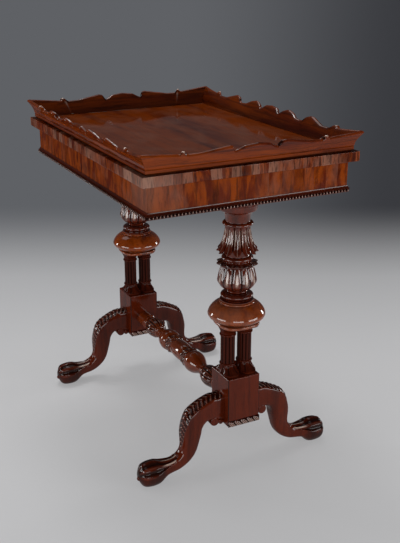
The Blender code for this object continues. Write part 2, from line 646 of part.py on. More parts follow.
def rounded_square(angle, half_x, half_y, squareness):
    """Distance from the middle of a rounded rectangle to its outline, in a direction."""
    across = (abs(math.cos(angle)) / half_x) ** squareness + (abs(math.sin(angle)) / half_y) ** squareness
    return across ** (-1 / squareness)


def make_columns(end, sign):
    """A pair of reeded columns with belled feet, neck rings, square spreading heads and end tenons."""
    low = GLUE_GAP
    neck = COLUMN_HEIGHT - COLUMN_HEAD_HEIGHT
    head_low = neck + COLUMN_RING_HEIGHT
    tenon_top = COLUMN_HEIGHT + COLUMN_TENON_LENGTH
    tenon_low = low - COLUMN_TENON_LENGTH
    profile = [(0.0, tenon_top), (COLUMN_TENON_RADIUS, tenon_top), (COLUMN_TENON_RADIUS, COLUMN_HEIGHT)]
    for i in range(COLUMN_HEAD_STEPS + 1):
        profile.append((COLUMN_RADIUS, COLUMN_HEIGHT - (COLUMN_HEIGHT - head_low) * i / COLUMN_HEAD_STEPS))
    profile += swell(COLUMN_RADIUS, COLUMN_RING_RADIUS, head_low, neck, 1)
    profile += [(COLUMN_RADIUS, neck - REED_DEPTH), (COLUMN_RADIUS, COLUMN_BASE_HEIGHT + REED_DEPTH),
                (COLUMN_RADIUS, COLUMN_BASE_HEIGHT)]
    profile += quarter((COLUMN_RADIUS, COLUMN_BASE_HEIGHT), (COLUMN_BASE_RADIUS, COLUMN_BASE_EDGE), 2, False)
    profile += [(COLUMN_BASE_RADIUS, low), (COLUMN_TENON_RADIUS, low), (COLUMN_TENON_RADIUS, tenon_low),
                (0.0, tenon_low)]
    body = (COLUMN_TENON_RADIUS + COLUMN_RADIUS) / 2

    def carve(angle, radius, z, side):
        if radius < body:
            return radius
        if z > head_low:
            share = (z - head_low) / (COLUMN_HEIGHT - head_low)
            inner = math.sin(angle) * side < 0
            reach_y = COLUMN_Y - CAP_MARGIN if inner else COLUMN_RADIUS + CAP_MARGIN
            spread = share ** COLUMN_HEAD_POWER
            half_x = COLUMN_RADIUS + (CAP_FACE - COLUMN_HEAD_MARGIN - COLUMN_RADIUS) * spread
            half_y = COLUMN_RADIUS + (reach_y - COLUMN_RADIUS) * spread
            return rounded_square(angle, half_x, half_y, 2 + (COLUMN_HEAD_SQUARENESS - 2) * share)
        if COLUMN_BASE_HEIGHT + REED_DEPTH / 2 < z < neck - REED_DEPTH / 2:
            return radius - REED_DEPTH * valley(angle, COLUMN_REEDS)
        if z < COLUMN_BASE_HEIGHT - REED_DEPTH / 2:
            return rounded_square(angle, radius, radius, COLUMN_BASE_SQUARENESS)
        return radius
    for face, (x, y) in column_places(sign).items():
        turned("column_%s_%s" % (end, face), profile, "rosewood_carved", (x, y, BLOCK_TOP),
               relief=lambda angle, radius, z, side=FACES[face]: carve(angle, radius, z, side))


def make_block(end, sign):
    """Square block, mortised for the columns, the legs and the stretcher."""
    x = sign * SUPPORT_X
    block = board("base_block_" + end, (x - BLOCK_FACE, -BLOCK_FACE, BLOCK_CLEARANCE),
                  (x + BLOCK_FACE, BLOCK_FACE, BLOCK_TOP), "rosewood_solid", edge=BLOCK_EDGE)
    inner = x - sign * BLOCK_FACE

    def mortises(bm):
        for px, py in column_places(sign).values():
            add_peg(bm, COLUMN_TENON_RADIUS + GLUE_GAP, (px, py, BLOCK_TOP - COLUMN_TENON_LENGTH - GLUE_GAP),
                    (px, py, BLOCK_TOP + GLUE_GAP))
        add_peg(bm, STRETCHER_TENON_RADIUS + GLUE_GAP, (inner - sign * GLUE_GAP, 0, STRETCHER_HEIGHT),
                (inner + sign * (STRETCHER_TENON_LENGTH + GLUE_GAP), 0, STRETCHER_HEIGHT))
        wide = LEG_TENON_WIDTH / 2 + GLUE_GAP
        deep = LEG_TENON_DEPTH / 2 + GLUE_GAP
        for side in FACES.values():
            mortise_end = side * (BLOCK_FACE - LEG_TENON_LENGTH - GLUE_GAP)
            y0, y1 = sorted((mortise_end, side * (BLOCK_FACE + GLUE_GAP)))
            add_box(bm, (x - wide, y0, LEG_ROOT_MIDDLE - deep), (x + wide, y1, LEG_ROOT_MIDDLE + deep))
    cut(block, "cut_block_" + end, mortises)


def make_leaf_strips(end, sign):
    """Carved strips along the foot of the block's outer and inner faces."""
    section = [(GLUE_GAP, 0.0), (STRIP_PROJECTION - STRIP_EDGE, 0.0), (STRIP_PROJECTION, STRIP_HEIGHT / 3),
               (STRIP_EDGE, STRIP_HEIGHT), (GLUE_GAP, STRIP_HEIGHT)]
    for place, facing in (("outer", sign), ("inner", -sign)):
        bm = bmesh.new()
        rings = []
        for y in (-BLOCK_FACE, BLOCK_FACE):
            rings.append([bm.verts.new((facing * (BLOCK_FACE + n), y, z)) for n, z in section])
        bridge_rings(bm, rings)
        add_object("leaf_strip_%s_%s" % (end, place), bm, "rosewood_carved",
                   (sign * SUPPORT_X, 0, BLOCK_CLEARANCE))


def leg_stations():
    """Sections down the leg: place across and up, lean of the section, depth, width and squareness.

    Places are shares of the way from the block's face to the toe and from the floor to the root's middle.
    """
    run = LEG_REACH - BLOCK_FACE
    rise = LEG_ROOT_MIDDLE
    foot_y = 1 - FOOT_LENGTH / 2 / run
    foot_z = (FOOT_HEIGHT / 2 - FOOT_FLAT) / rise
    toe = FOOT_LENGTH / 2 / run
    lobe_z = 1 - LEG_LOBE_DROP / 2 / rise
    arch_z = 1 + LEG_LOBE_DROP / 4 / rise
    instep = LEG_ANKLE_DEPTH * 0.6 + FOOT_HEIGHT * 0.4
    rows = [
        (0.0, 1.0, 0, LEG_ROOT_DEPTH, LEG_ROOT_WIDTH, 5),
        (LEG_LOBE_REACH / 2 / run, lobe_z, 2, LEG_ROOT_DEPTH + LEG_LOBE_DROP / 2, LEG_ROOT_WIDTH, 5),
        (LEG_LOBE_REACH / run, arch_z, 6, LEG_ROOT_DEPTH - LEG_LOBE_DROP, LEG_ROOT_WIDTH, 5),
        (0.23, 0.965, 22, LEG_KNEE_DEPTH, LEG_KNEE_WIDTH, 4.5),
        (0.325, 0.87, 42, LEG_KNEE_DEPTH, LEG_KNEE_WIDTH, 4.5),
        (0.375, 0.68, 64, (LEG_KNEE_DEPTH + LEG_SHANK_DEPTH) / 2, LEG_KNEE_WIDTH, 4),
        (0.405, 0.45, 66, LEG_SHANK_DEPTH, LEG_ANKLE_WIDTH, 4),
        (0.465, 0.33, 55, LEG_ANKLE_DEPTH, LEG_ANKLE_WIDTH, 3.5),
        (0.56, 0.25, 36, LEG_ANKLE_DEPTH, LEG_ANKLE_WIDTH, 3.5),
        (0.655, foot_z * 1.1, 18, instep, (LEG_ANKLE_WIDTH + FOOT_WIDTH) / 2, 3),
        (foot_y - toe * 0.5, foot_z, 5, FOOT_HEIGHT, FOOT_WIDTH, 2.3),
        (foot_y + toe * 0.2, foot_z, 0, FOOT_HEIGHT, FOOT_WIDTH, 2.2),
        (foot_y + toe * 0.7, foot_z, 0, FOOT_HEIGHT * 0.75, FOOT_WIDTH * 0.75, 2.2),
        (1.0, foot_z, 0, FOOT_HEIGHT * 0.25, FOOT_WIDTH * 0.25, 2.2),
    ]
    shoulder = BLOCK_FACE + GLUE_GAP
    return [(shoulder + y * (LEG_REACH - shoulder), z * rise, math.radians(lean), depth, width, power)
            for y, z, lean, depth, width, power in rows]


def smooth_rows(rows, steps):
    """Catmull-Rom rows between the given ones."""
    padded = [rows[0]] + rows + [rows[-1]]
    result = []
    for before, start, end, after in zip(padded, padded[1:], padded[2:], padded[3:]):
        for i in range(steps):
            t = i / steps
            row = []
            for p, q, r, s in zip(before, start, end, after):
                bend = (2 * p - 5 * q + 4 * r - s) * t ** 2 + (3 * q - p - 3 * r + s) * t ** 3
                row.append(q + ((r - p) * t + bend) / 2)
            result.append(row)
    return result + [rows[-1]]


def leg_ring(bm, side, y, z, lean, depth, width, power):
    """One section: a rounded rectangle whose long axis leans out from the vertical."""
    ring = []
    for i in range(LEG_SIDES):
        a = 2 * math.pi * i / LEG_SIDES
        across = math.copysign(abs(math.cos(a)) ** (2 / power), math.cos(a)) * width / 2
        up = math.copysign(abs(math.sin(a)) ** (2 / power), math.sin(a)) * depth / 2
        ring.append(bm.verts.new((across, side * (y + up * math.sin(lean)), z + up * math.cos(lean))))
    return ring


def make_leg(name, sign, side):
    """A cabriole leg with its tenon in the block and a ball foot cut flat on the floor."""
    bm = bmesh.new()
    tenon = (LEG_ROOT_MIDDLE, 0.0, LEG_TENON_DEPTH, LEG_TENON_WIDTH, 8)
    shoulder = BLOCK_FACE + GLUE_GAP
    rings = [leg_ring(bm, side, y, *tenon) for y in (shoulder - LEG_TENON_LENGTH, shoulder)]
    rings += [leg_ring(bm, side, *row) for row in smooth_rows(leg_stations(), LEG_STEPS_PER_STATION)]
    bridge_rings(bm, rings)
    bmesh.ops.bisect_plane(bm, geom=bm.verts[:] + bm.edges[:] + bm.faces[:], dist=1e-6, plane_co=(0, 0, 0),
                           plane_no=(0, 0, -1), clear_outer=True)
    bmesh.ops.contextual_create(bm, geom=[e for e in bm.edges if e.is_boundary])
    add_object(name, bm, "rosewood_carved", (sign * SUPPORT_X, 0, 0), smooth=True)


def make_stretcher():
    """Bulb, rings, vases and end cushions turned on one axis, alike on both sides of the middle."""
    half = SUPPORT_X - BLOCK_FACE - GLUE_GAP
    neck, notch = STRETCHER_NECK_RADIUS, STRETCHER_NOTCH_RADIUS
    bulb, ring, vase, cushion = (half * share for share in (BULB_END, RING_END, VASE_END, CUSHION_END))
    belly = ring + (vase - ring) * VASE_BELLY
    collar = vase + STRETCHER_COLLAR_WIDTH
    end_ring = cushion + STRETCHER_END_RING
    side = quarter((STRETCHER_BULB_RADIUS, 0.0), (notch, bulb), 2, False)
    side += swell(notch, STRETCHER_RING_RADIUS, bulb, ring, 2)
    side += quarter((notch, ring), (STRETCHER_VASE_RADIUS, belly), 2, True)
    side += ogee((STRETCHER_VASE_RADIUS, belly), (neck, vase), 3)
    side += swell(neck, STRETCHER_COLLAR_RADIUS, vase, collar, 1)
    side += swell(neck, STRETCHER_CUSHION_RADIUS, collar, cushion, 2)
    side += swell(neck, STRETCHER_END_RADIUS, cushion, end_ring, 1)
    side += [(STRETCHER_END_RADIUS, half), (STRETCHER_TENON_RADIUS, half),
             (STRETCHER_TENON_RADIUS, half + STRETCHER_TENON_LENGTH), (0.0, half + STRETCHER_TENON_LENGTH)]
    profile = side[::-1] + [(STRETCHER_BULB_RADIUS, 0.0)] + [(r, -z) for r, z in side]
    turned("stretcher", profile, "rosewood_carved", (0, 0, STRETCHER_HEIGHT), sides=STRETCHER_SIDES,
           along_x=True)


def main():
    make_top_board()
    make_gallery()
    make_frieze()
    make_bead_mouldings()
    make_drawer()
    for end, sign in ENDS.items():
        make_bearer(end, sign)
        make_drawer_slides(end, sign)
        make_baluster(end, sign)
        make_bun(end, sign)
        make_cap(end, sign)
        make_columns(end, sign)
        make_block(end, sign)
        make_leaf_strips(end, sign)
        for face, side in FACES.items():
            make_leg("leg_%s_%s" % (end, face), sign, side)
    make_stretcher()


main()
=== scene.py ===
"""Looks of a carved rosewood work table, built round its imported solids.

Metres, +Z up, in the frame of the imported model: X from support to support, the drawer at +Y.
"""
import math

import bpy
import numpy as np
from mathutils import Matrix, Vector


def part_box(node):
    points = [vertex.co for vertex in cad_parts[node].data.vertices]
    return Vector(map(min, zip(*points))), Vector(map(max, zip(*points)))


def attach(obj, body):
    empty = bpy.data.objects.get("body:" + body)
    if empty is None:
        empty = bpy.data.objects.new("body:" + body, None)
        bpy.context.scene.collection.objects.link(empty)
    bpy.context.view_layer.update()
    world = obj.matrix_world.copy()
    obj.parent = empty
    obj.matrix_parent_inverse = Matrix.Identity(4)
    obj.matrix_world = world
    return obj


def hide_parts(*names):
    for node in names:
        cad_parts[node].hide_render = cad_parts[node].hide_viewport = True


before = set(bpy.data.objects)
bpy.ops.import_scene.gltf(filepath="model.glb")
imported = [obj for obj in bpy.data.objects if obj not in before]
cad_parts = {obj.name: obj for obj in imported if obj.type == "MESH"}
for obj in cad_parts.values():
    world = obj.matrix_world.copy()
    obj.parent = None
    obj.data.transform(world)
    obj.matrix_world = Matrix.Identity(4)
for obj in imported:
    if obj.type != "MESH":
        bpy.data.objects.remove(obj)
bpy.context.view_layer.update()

bl_info = {
    "name": "Rosewood work table",
    "version": (1, 0, 0),
    "blender": (4, 5, 0),
    "location": "View3D > Sidebar > Work table",
    "description": "Models the carved and veneered pieces of a tray-top work table over its packed solids",
    "category": "Object",
}

# Places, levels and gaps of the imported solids
BLOCK_LOW, BLOCK_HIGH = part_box("base_block_right")
SUPPORT_X = (BLOCK_LOW.x + BLOCK_HIGH.x) / 2
BLOCK_FACE = (BLOCK_HIGH.y - BLOCK_LOW.y) / 2
COLUMN_Y = 0.02035
CAP_LOW, CAP_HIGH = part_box("column_cap_right")
CAP_FACE = (CAP_HIGH.y - CAP_LOW.y) / 2
BUN_LOW, BUN_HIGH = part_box("bun_right")
FRIEZE_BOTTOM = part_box("frieze_front")[0].z
FRIEZE_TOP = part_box("frieze_front")[1].z
FRIEZE_THICKNESS = 0.020
HALF_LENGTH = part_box("frieze_right")[1].x
HALF_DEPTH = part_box("frieze_right")[1].y
BOARD_LOW, BOARD_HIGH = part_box("top_board")
GALLERY_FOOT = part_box("gallery_front")[0].z
GALLERY_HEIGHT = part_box("gallery_front")[1].z - GALLERY_FOOT
STRETCHER_LOW, STRETCHER_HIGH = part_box("stretcher")
STRETCHER_HEIGHT = (STRETCHER_LOW.z + STRETCHER_HIGH.z) / 2
LEG_REACH = -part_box("leg_right_front")[0].y
STILE_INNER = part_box("frieze_stile_right")[0].x
GLUE_GAP = 0.0003
MITRE_GAP = GLUE_GAP / math.sqrt(2)

# Outward direction and direction along each side of the top, with its distance out and half length
SIDES = {
    "front": (Vector((0, -1, 0)), Vector((1, 0, 0)), HALF_DEPTH, HALF_LENGTH),
    "back": (Vector((0, 1, 0)), Vector((-1, 0, 0)), HALF_DEPTH, HALF_LENGTH),
    "right": (Vector((1, 0, 0)), Vector((0, 1, 0)), HALF_LENGTH, HALF_DEPTH),
}
HALF_TURN = Matrix.Rotation(math.pi, 4, "Z")
TO_LEFT = Matrix.Translation((-2 * SUPPORT_X, 0, 0))
TURN_AT_SUPPORT = Matrix.Translation((SUPPORT_X, 0, 0)) @ HALF_TURN @ Matrix.Translation((-SUPPORT_X, 0, 0))


def linear(text):
    """Turn an sRGB hex colour into linear RGBA."""
    values = [int(text[i:i + 2], 16) / 255 for i in (0, 2, 4)]
    return [v / 12.92 if v <= 0.04045 else ((v + 0.055) / 1.055) ** 2.4 for v in values] + [1.0]


def length(name, description, default):
    """A length that a user can change."""
    return bpy.props.FloatProperty(name=name, description=description, default=default, unit="LENGTH",
                                   precision=5)


def count(name, description, default):
    """A number of like parts that a user can change."""
    return bpy.props.IntProperty(name=name, description=description, default=default, min=1)


def tone(name, description, text):
    """A colour that a user can change."""
    return bpy.props.FloatVectorProperty(name=name, description=description, default=linear(text), size=4,
                                         subtype="COLOR", min=0.0, max=1.0)


class WorkTableSizes(bpy.types.PropertyGroup):
    """Sizes of the carving and mouldings."""
    scroll_depth: length("Scroll depth", "Depth of the scroll cuts in the gallery's top edge", 0.013)
    bead_pitch: length("Bead pitch", "Distance from bead to bead along the foot of the frieze", 0.0075)
    bead_radius: length("Bead radius", "Radius of a bead", 0.0034)
    leaf_count: count("Leaves", "Leaves round a baluster", 12)
    leaf_depth: length("Leaf depth", "Depth of the cuts between lotus leaves at their tips", 0.0085)
    lobe_depth: length("Lobe depth", "Depth of the cuts between the lobes of the cup", 0.0042)
    reed_count: count("Reeds", "Reeds round a column", 12)
    reed_depth: length("Reed depth", "Depth of the cuts between reeds", 0.0021)
    knee_leaf: length("Knee leaf", "Distance from leaflet to leaflet on a knee", 0.0115)
    knee_depth: length("Knee carving", "Depth of the carving on a knee", 0.0013)
    strip_leaves: count("Strip leaves", "Leaves on a block's strip", 5)
    edge: length("Edge", "Rounding of a board's edges", 0.0007)


class WorkTableColours(bpy.types.PropertyGroup):
    """Colours of the woods and the stage."""
    deep: tone("Rosewood, deep", "Dark streaks in the rosewood", "1d0803")
    dark: tone("Rosewood, dark", "Main brown of the solid wood of the base", "371006")
    heart: tone("Rosewood, heart", "Main red-brown of the rosewood", "521a07")
    warm: tone("Rosewood, warm", "Warm bands in the rosewood", "7c3407")
    pale: tone("Rosewood, pale", "Leaves of veneer faded by light", "805746")
    # Pale on the crests: wear from handling, and painted highlight
    wear_and_sheen: tone("Rosewood, worn", "Crests of the carving, worn pale by handling", "d6c0b0")
    # Dark in the hollows: old wax, and painted shade
    wax_and_shade: tone("Grime", "Old wax in the hollows of the carving", "100604")
    mahogany: tone("Mahogany", "Main colour of the lining", "623619")
    mahogany_dark: tone("Mahogany, dark", "Dark grain of the lining", "3a1c0c")
    floor: tone("Floor", "Studio floor", "d8d8da")
    near: tone("Floor, lit", "Studio floor near the table where no shadow falls", "bfbfc0")
    backdrop: tone("Backdrop", "Backdrop behind the table", "5f6165")
    corner: tone("Backdrop, right", "Backdrop at its right end", "393a3e")


def sizes():
    return bpy.context.scene.work_table_sizes


def colours():
    return bpy.context.scene.work_table_colours


# Modelling steps

MERGE_DISTANCE = 1e-6
SHARP_ANGLE = math.radians(40)
# Segments and rings of a ball
FINE_BALL, BEAD_BALL = (16, 10), (8, 6)


def deselect():
    """Leave edit mode and clear the selection."""
    if bpy.context.mode != "OBJECT":
        bpy.ops.object.mode_set(mode="OBJECT")
    bpy.ops.object.select_all(action="DESELECT")


def take(obj):
    """Make an object the only one selected, and active."""
    deselect()
    obj.select_set(True)
    bpy.context.view_layer.objects.active = obj


def named(name):
    """Name the object that was just added."""
    obj = bpy.context.object
    obj.name = name
    obj.data.name = name
    return obj


def settled(name):
    """Name the object that was just added, and put its place and size into its mesh."""
    obj = named(name)
    bpy.ops.object.transform_apply(location=True, rotation=True, scale=True)
    return obj


def close_up(obj):
    """Merge the seam and the poles, fill open ends and point the faces outwards."""
    take(obj)
    bpy.ops.object.mode_set(mode="EDIT")
    bpy.ops.mesh.select_all(action="SELECT")
    bpy.ops.mesh.remove_doubles(threshold=MERGE_DISTANCE)
    bpy.ops.mesh.fill_holes(sides=0)
    bpy.ops.mesh.select_all(action="SELECT")
    bpy.ops.mesh.normals_make_consistent(inside=False)
    bpy.ops.object.mode_set(mode="OBJECT")


def draw_line(name, points):
    """Draw a chain of points by extruding one vertex from each to the next."""
    deselect()
    bpy.ops.mesh.primitive_plane_add(size=0.01)
    obj = named(name)
    bpy.ops.object.mode_set(mode="EDIT")
    bpy.ops.mesh.select_mode(type="VERT")
    bpy.ops.mesh.select_all(action="SELECT")
    bpy.ops.mesh.merge(type="CENTER")
    bpy.ops.transform.translate(value=points[0])
    for start, end in zip(points, points[1:]):
        bpy.ops.mesh.extrude_region_move(TRANSFORM_OT_translate={"value": Vector(end) - Vector(start)})
    return obj


def turn(name, profile, sides, centre, axis=(0, 0, 1)):
    """Turn a piece on the lathe: (radius, height) points spun round an axis through the centre."""
    out = Vector((1, 0, 0)) if axis[2] else Vector((0, 0, 1))
    points = [Vector(centre) + out * radius + Vector(axis) * height for radius, height in profile]
    obj = draw_line(name, points)
    bpy.ops.mesh.select_all(action="SELECT")
    bpy.ops.mesh.spin(steps=sides, angle=2 * math.pi, center=centre, axis=axis)
    close_up(obj)
    return obj


def reshape(obj, rule):
    """Move every vertex as a rule on its x, y and z says, and keep its recess: above 0 painted darker with
    old wax and shade, below 0 paler with wear and highlight.
    """
    mesh = obj.data
    places = np.empty(len(mesh.vertices) * 3, np.float32)
    mesh.vertices.foreach_get("co", places)
    x, y, z, recess = rule(*places.reshape(-1, 3).T.astype(float))
    mesh.vertices.foreach_set("co", np.stack([x, y, z], axis=1).astype(np.float32).ravel())
    deep = mesh.attributes.new("recess", "FLOAT", "POINT")
    deep.data.foreach_set("value", (recess + np.zeros(len(x))).astype(np.float32))
    mesh.update()


def wrap(name, columns, rows, rule):
    """Add a flat sheet, wrap it to a carved form and close it."""
    deselect()
    bpy.ops.mesh.primitive_grid_add(x_subdivisions=columns, y_subdivisions=rows, size=2)
    obj = named(name)
    reshape(obj, lambda x, y, z: rule(x, np.rint((y + 1) / 2 * rows).astype(int)))
    close_up(obj)
    return obj


def carve_turned(name, zones, sides, centre, cuts, along_x=False):
    """A turned and carved piece: zones of (radius, height) points, with a cut for each carved zone.

    cut(angle, share) gives the change of radius, the change of height, and the recess: above 0 painted darker
    with old wax and shade, below 0 paler with wear and highlight.
    """
    radii, heights, labels, shares = [], [], [], []
    for label, points in zones:
        for i, (radius, height) in enumerate(points):
            radii.append(radius)
            heights.append(height)
            labels.append(label)
            shares.append(i / max(1, len(points) - 1))
    radii, heights, labels, shares = (np.array(part) for part in (radii, heights, labels, shares))

    def rule(x, row):
        angle = math.pi * (x + 1)
        radius, height = radii[row], heights[row]
        recess = np.zeros(len(x))
        for label, cut in cuts.items():
            inside = labels[row] == label
            out, up, deep = cut(angle[inside], shares[row][inside])
            radius[inside] += out
            height[inside] += up
            recess[inside] = deep
        side, front = radius * np.cos(angle), radius * np.sin(angle)
        if along_x:
            return centre[0] + height, centre[1] + side, centre[2] + front, recess
        return centre[0] + side, centre[1] + front, centre[2] + height, recess
    return wrap(name, sides, len(radii) - 1, rule)


def box(name, low, high):
    """A plain box between two corners."""
    deselect()
    bpy.ops.mesh.primitive_cube_add(size=1, location=(low + high) / 2)
    bpy.context.object.scale = high - low
    return settled(name)


def ball(name, radius, place, segments, rings, rotation=(0, 0, 0)):
    """A small ball, before it is shaped."""
    deselect()
    bpy.ops.mesh.primitive_uv_sphere_add(segments=segments, ring_count=rings, radius=radius, location=place,
                                         rotation=rotation)
    return settled(name)


def round_edges(obj, rounding, segments=2):
    """Take the sharp edges off a piece."""
    take(obj)
    modifier = obj.modifiers.new("rounding", "BEVEL")
    modifier.width = rounding
    modifier.segments = segments
    modifier.limit_method = "ANGLE"
    modifier.angle_limit = SHARP_ANGLE
    bpy.ops.object.modifier_apply(modifier=modifier.name)


def side_strip(name, side, section, columns, inset, bottom, start=None):
    """A strip along one side of the top, mitred at its corners.

    section(share) gives rows of (outward, up, recess) arrays round the closed section at each share of
    the half length. start cuts the first end square at that distance along the side.
    """
    outward, along, distance, half = SIDES[side]
    rows = len(section(np.zeros(1)))

    def rule(x, row):
        row = row % rows
        parts = np.array([[part + np.zeros(len(x)) for part in line] for line in section(np.abs(x))])
        n, up, recess = parts[row, :, np.arange(len(x))].T
        reach = half - inset + n - MITRE_GAP
        t = x * reach if start is None else start + (x + 1) / 2 * (math.copysign(1, start) * reach - start)
        out = distance - inset + n
        return along.x * t + outward.x * out, along.y * t + outward.y * out, bottom + up, recess
    return wrap(name, columns, rows, rule)


def copy_of(obj, name, matrix):
    """Copy a piece, with its own mesh, to another place."""
    take(obj)
    bpy.ops.object.duplicate(linked=False)
    bpy.context.object.matrix_world = matrix
    return settled(name)


def join(parts):
    """Join pieces into the first of them."""
    take(parts[0])
    for part in parts[1:]:
        part.select_set(True)
    bpy.ops.object.join()
    return parts[0]


def fit(obj, material, slot, body="table", angle=32, flat=False):
    """Shade a finished piece, give it its material and put it in place of the solid that it is named for.

    flat keeps the shading of broad flat faces even up to their rounded edges.
    """
    take(obj)
    bpy.ops.object.shade_smooth_by_angle(angle=math.radians(angle))
    if flat:
        even = obj.modifiers.new("even shading", "WEIGHTED_NORMAL")
        even.keep_sharp = True
        bpy.ops.object.modifier_apply(modifier=even.name)
    obj.data.materials.clear()
    obj.data.materials.append(material)
    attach(obj, body)
    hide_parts(obj.name.rpartition("_")[0])


def fit_both(obj, material, slot, end="right", other="left", matrix=TO_LEFT, **finish):
    """Fit a piece, and a copy of it at the other end or side."""
    for piece in (obj, copy_of(obj, obj.name.replace(end, other), matrix)):
        fit(piece, material, slot, **finish)


# Outlines of mouldings, as (radius, height) points, and curves for the carving


def curve(start, end, u, v):
    """Points from start to end, by their shares of the way across and up."""
    return list(zip(start[0] + (end[0] - start[0]) * u, start[1] + (end[1] - start[1]) * v))


def quarter(start, end, steps, radius_first, flatness=1.0):
    """A quarter ellipse from start to end, straighter as flatness goes from 1 to 2."""
    a = np.linspace(0, math.pi / 2, steps + 1)
    fast, slow = np.sin(a) ** flatness, 1 - np.cos(a) ** flatness
    return curve(start, end, fast, slow) if radius_first else curve(start, end, slow, fast)


def ogee(start, end, steps):
    """An S-curve from start to end."""
    share = np.linspace(0, 1, steps + 1)
    return curve(start, end, (1 - np.cos(math.pi * share)) / 2, share)


def swell(inner, outer, top, bottom, steps):
    """A rounded moulding from top to bottom."""
    middle = (top + bottom) / 2
    upper = quarter((inner, top), (outer, middle), steps, True)
    return upper + quarter((outer, middle), (inner, bottom), steps, False)[1:]


def straight(start, end, steps):
    """A straight stretch from start to end."""
    share = np.linspace(0, 1, steps + 1)
    return curve(start, end, share, share)


def across(angle, leaves, shift=0.0):
    """-1 to 1 across each of a number of equal leaves round the axis, 0 at a leaf's middle."""
    return ((angle * leaves / (2 * math.pi) + 0.5 + shift) % 1) * 2 - 1


def squared(angle, half_x, half_y, power):
    """Distance from the middle of a rounded rectangle to its outline."""
    reach = (np.abs(np.cos(angle)) / half_x) ** power + (np.abs(np.sin(angle)) / half_y) ** power
    return reach ** (-1 / power)


def step(low, high, value):
    """0 below low, 1 above high, smooth between."""
    share = np.clip((value - low) / (high - low), 0, 1)
    return share * share * (3 - 2 * share)


def ridge(value, middle, width):
    """A rounded ridge of height 1."""
    return np.exp(-((value - middle) / width) ** 2)


# Finishes


def empty_tree(owner):
    """Turn on the nodes of a material or a world, and clear them."""
    owner.use_nodes = True
    owner.node_tree.nodes.clear()
    return owner.node_tree


def add_node(tree, kind, inputs, **settings):
    """Add a shader node with its settings, set or link its inputs, and give its outputs."""
    made = tree.nodes.new("ShaderNode" + kind)
    for key, value in settings.items():
        setattr(made, key, value)
    for key, value in inputs.items():
        if isinstance(value, bpy.types.NodeSocket):
            tree.links.new(value, made.inputs[key])
        else:
            made.inputs[key].default_value = value
    return made.outputs


# The corner of the frieze that light has faded most
FADED_CORNER = (HALF_LENGTH, -HALF_DEPTH, FRIEZE_TOP)
# How far the grain wanders, and how far it jumps from one leaf of veneer to the next
GRAIN_WANDER, LEAF_JUMP = [0.016] * 3, [0.03] * 3
# Width, and length in widths. Real pores are 0.2 mm wide; these are the finest that show here
PORES, CLOUD = (0.0011, 14), (0.055, 1.3)
# Pores, old wax with painted shade in the hollows, and wear with painted highlight on the crests lie over the
# other layers of every wood
LAST_LAYERS = [("pores", 0.44, 0.28, 0.3, "deep"), ("recess", 0.05, 0.95, 0.88, "wax_and_shade"),
               ("recess", -0.05, -1.0, 0.9, "wear_and_sheen")]


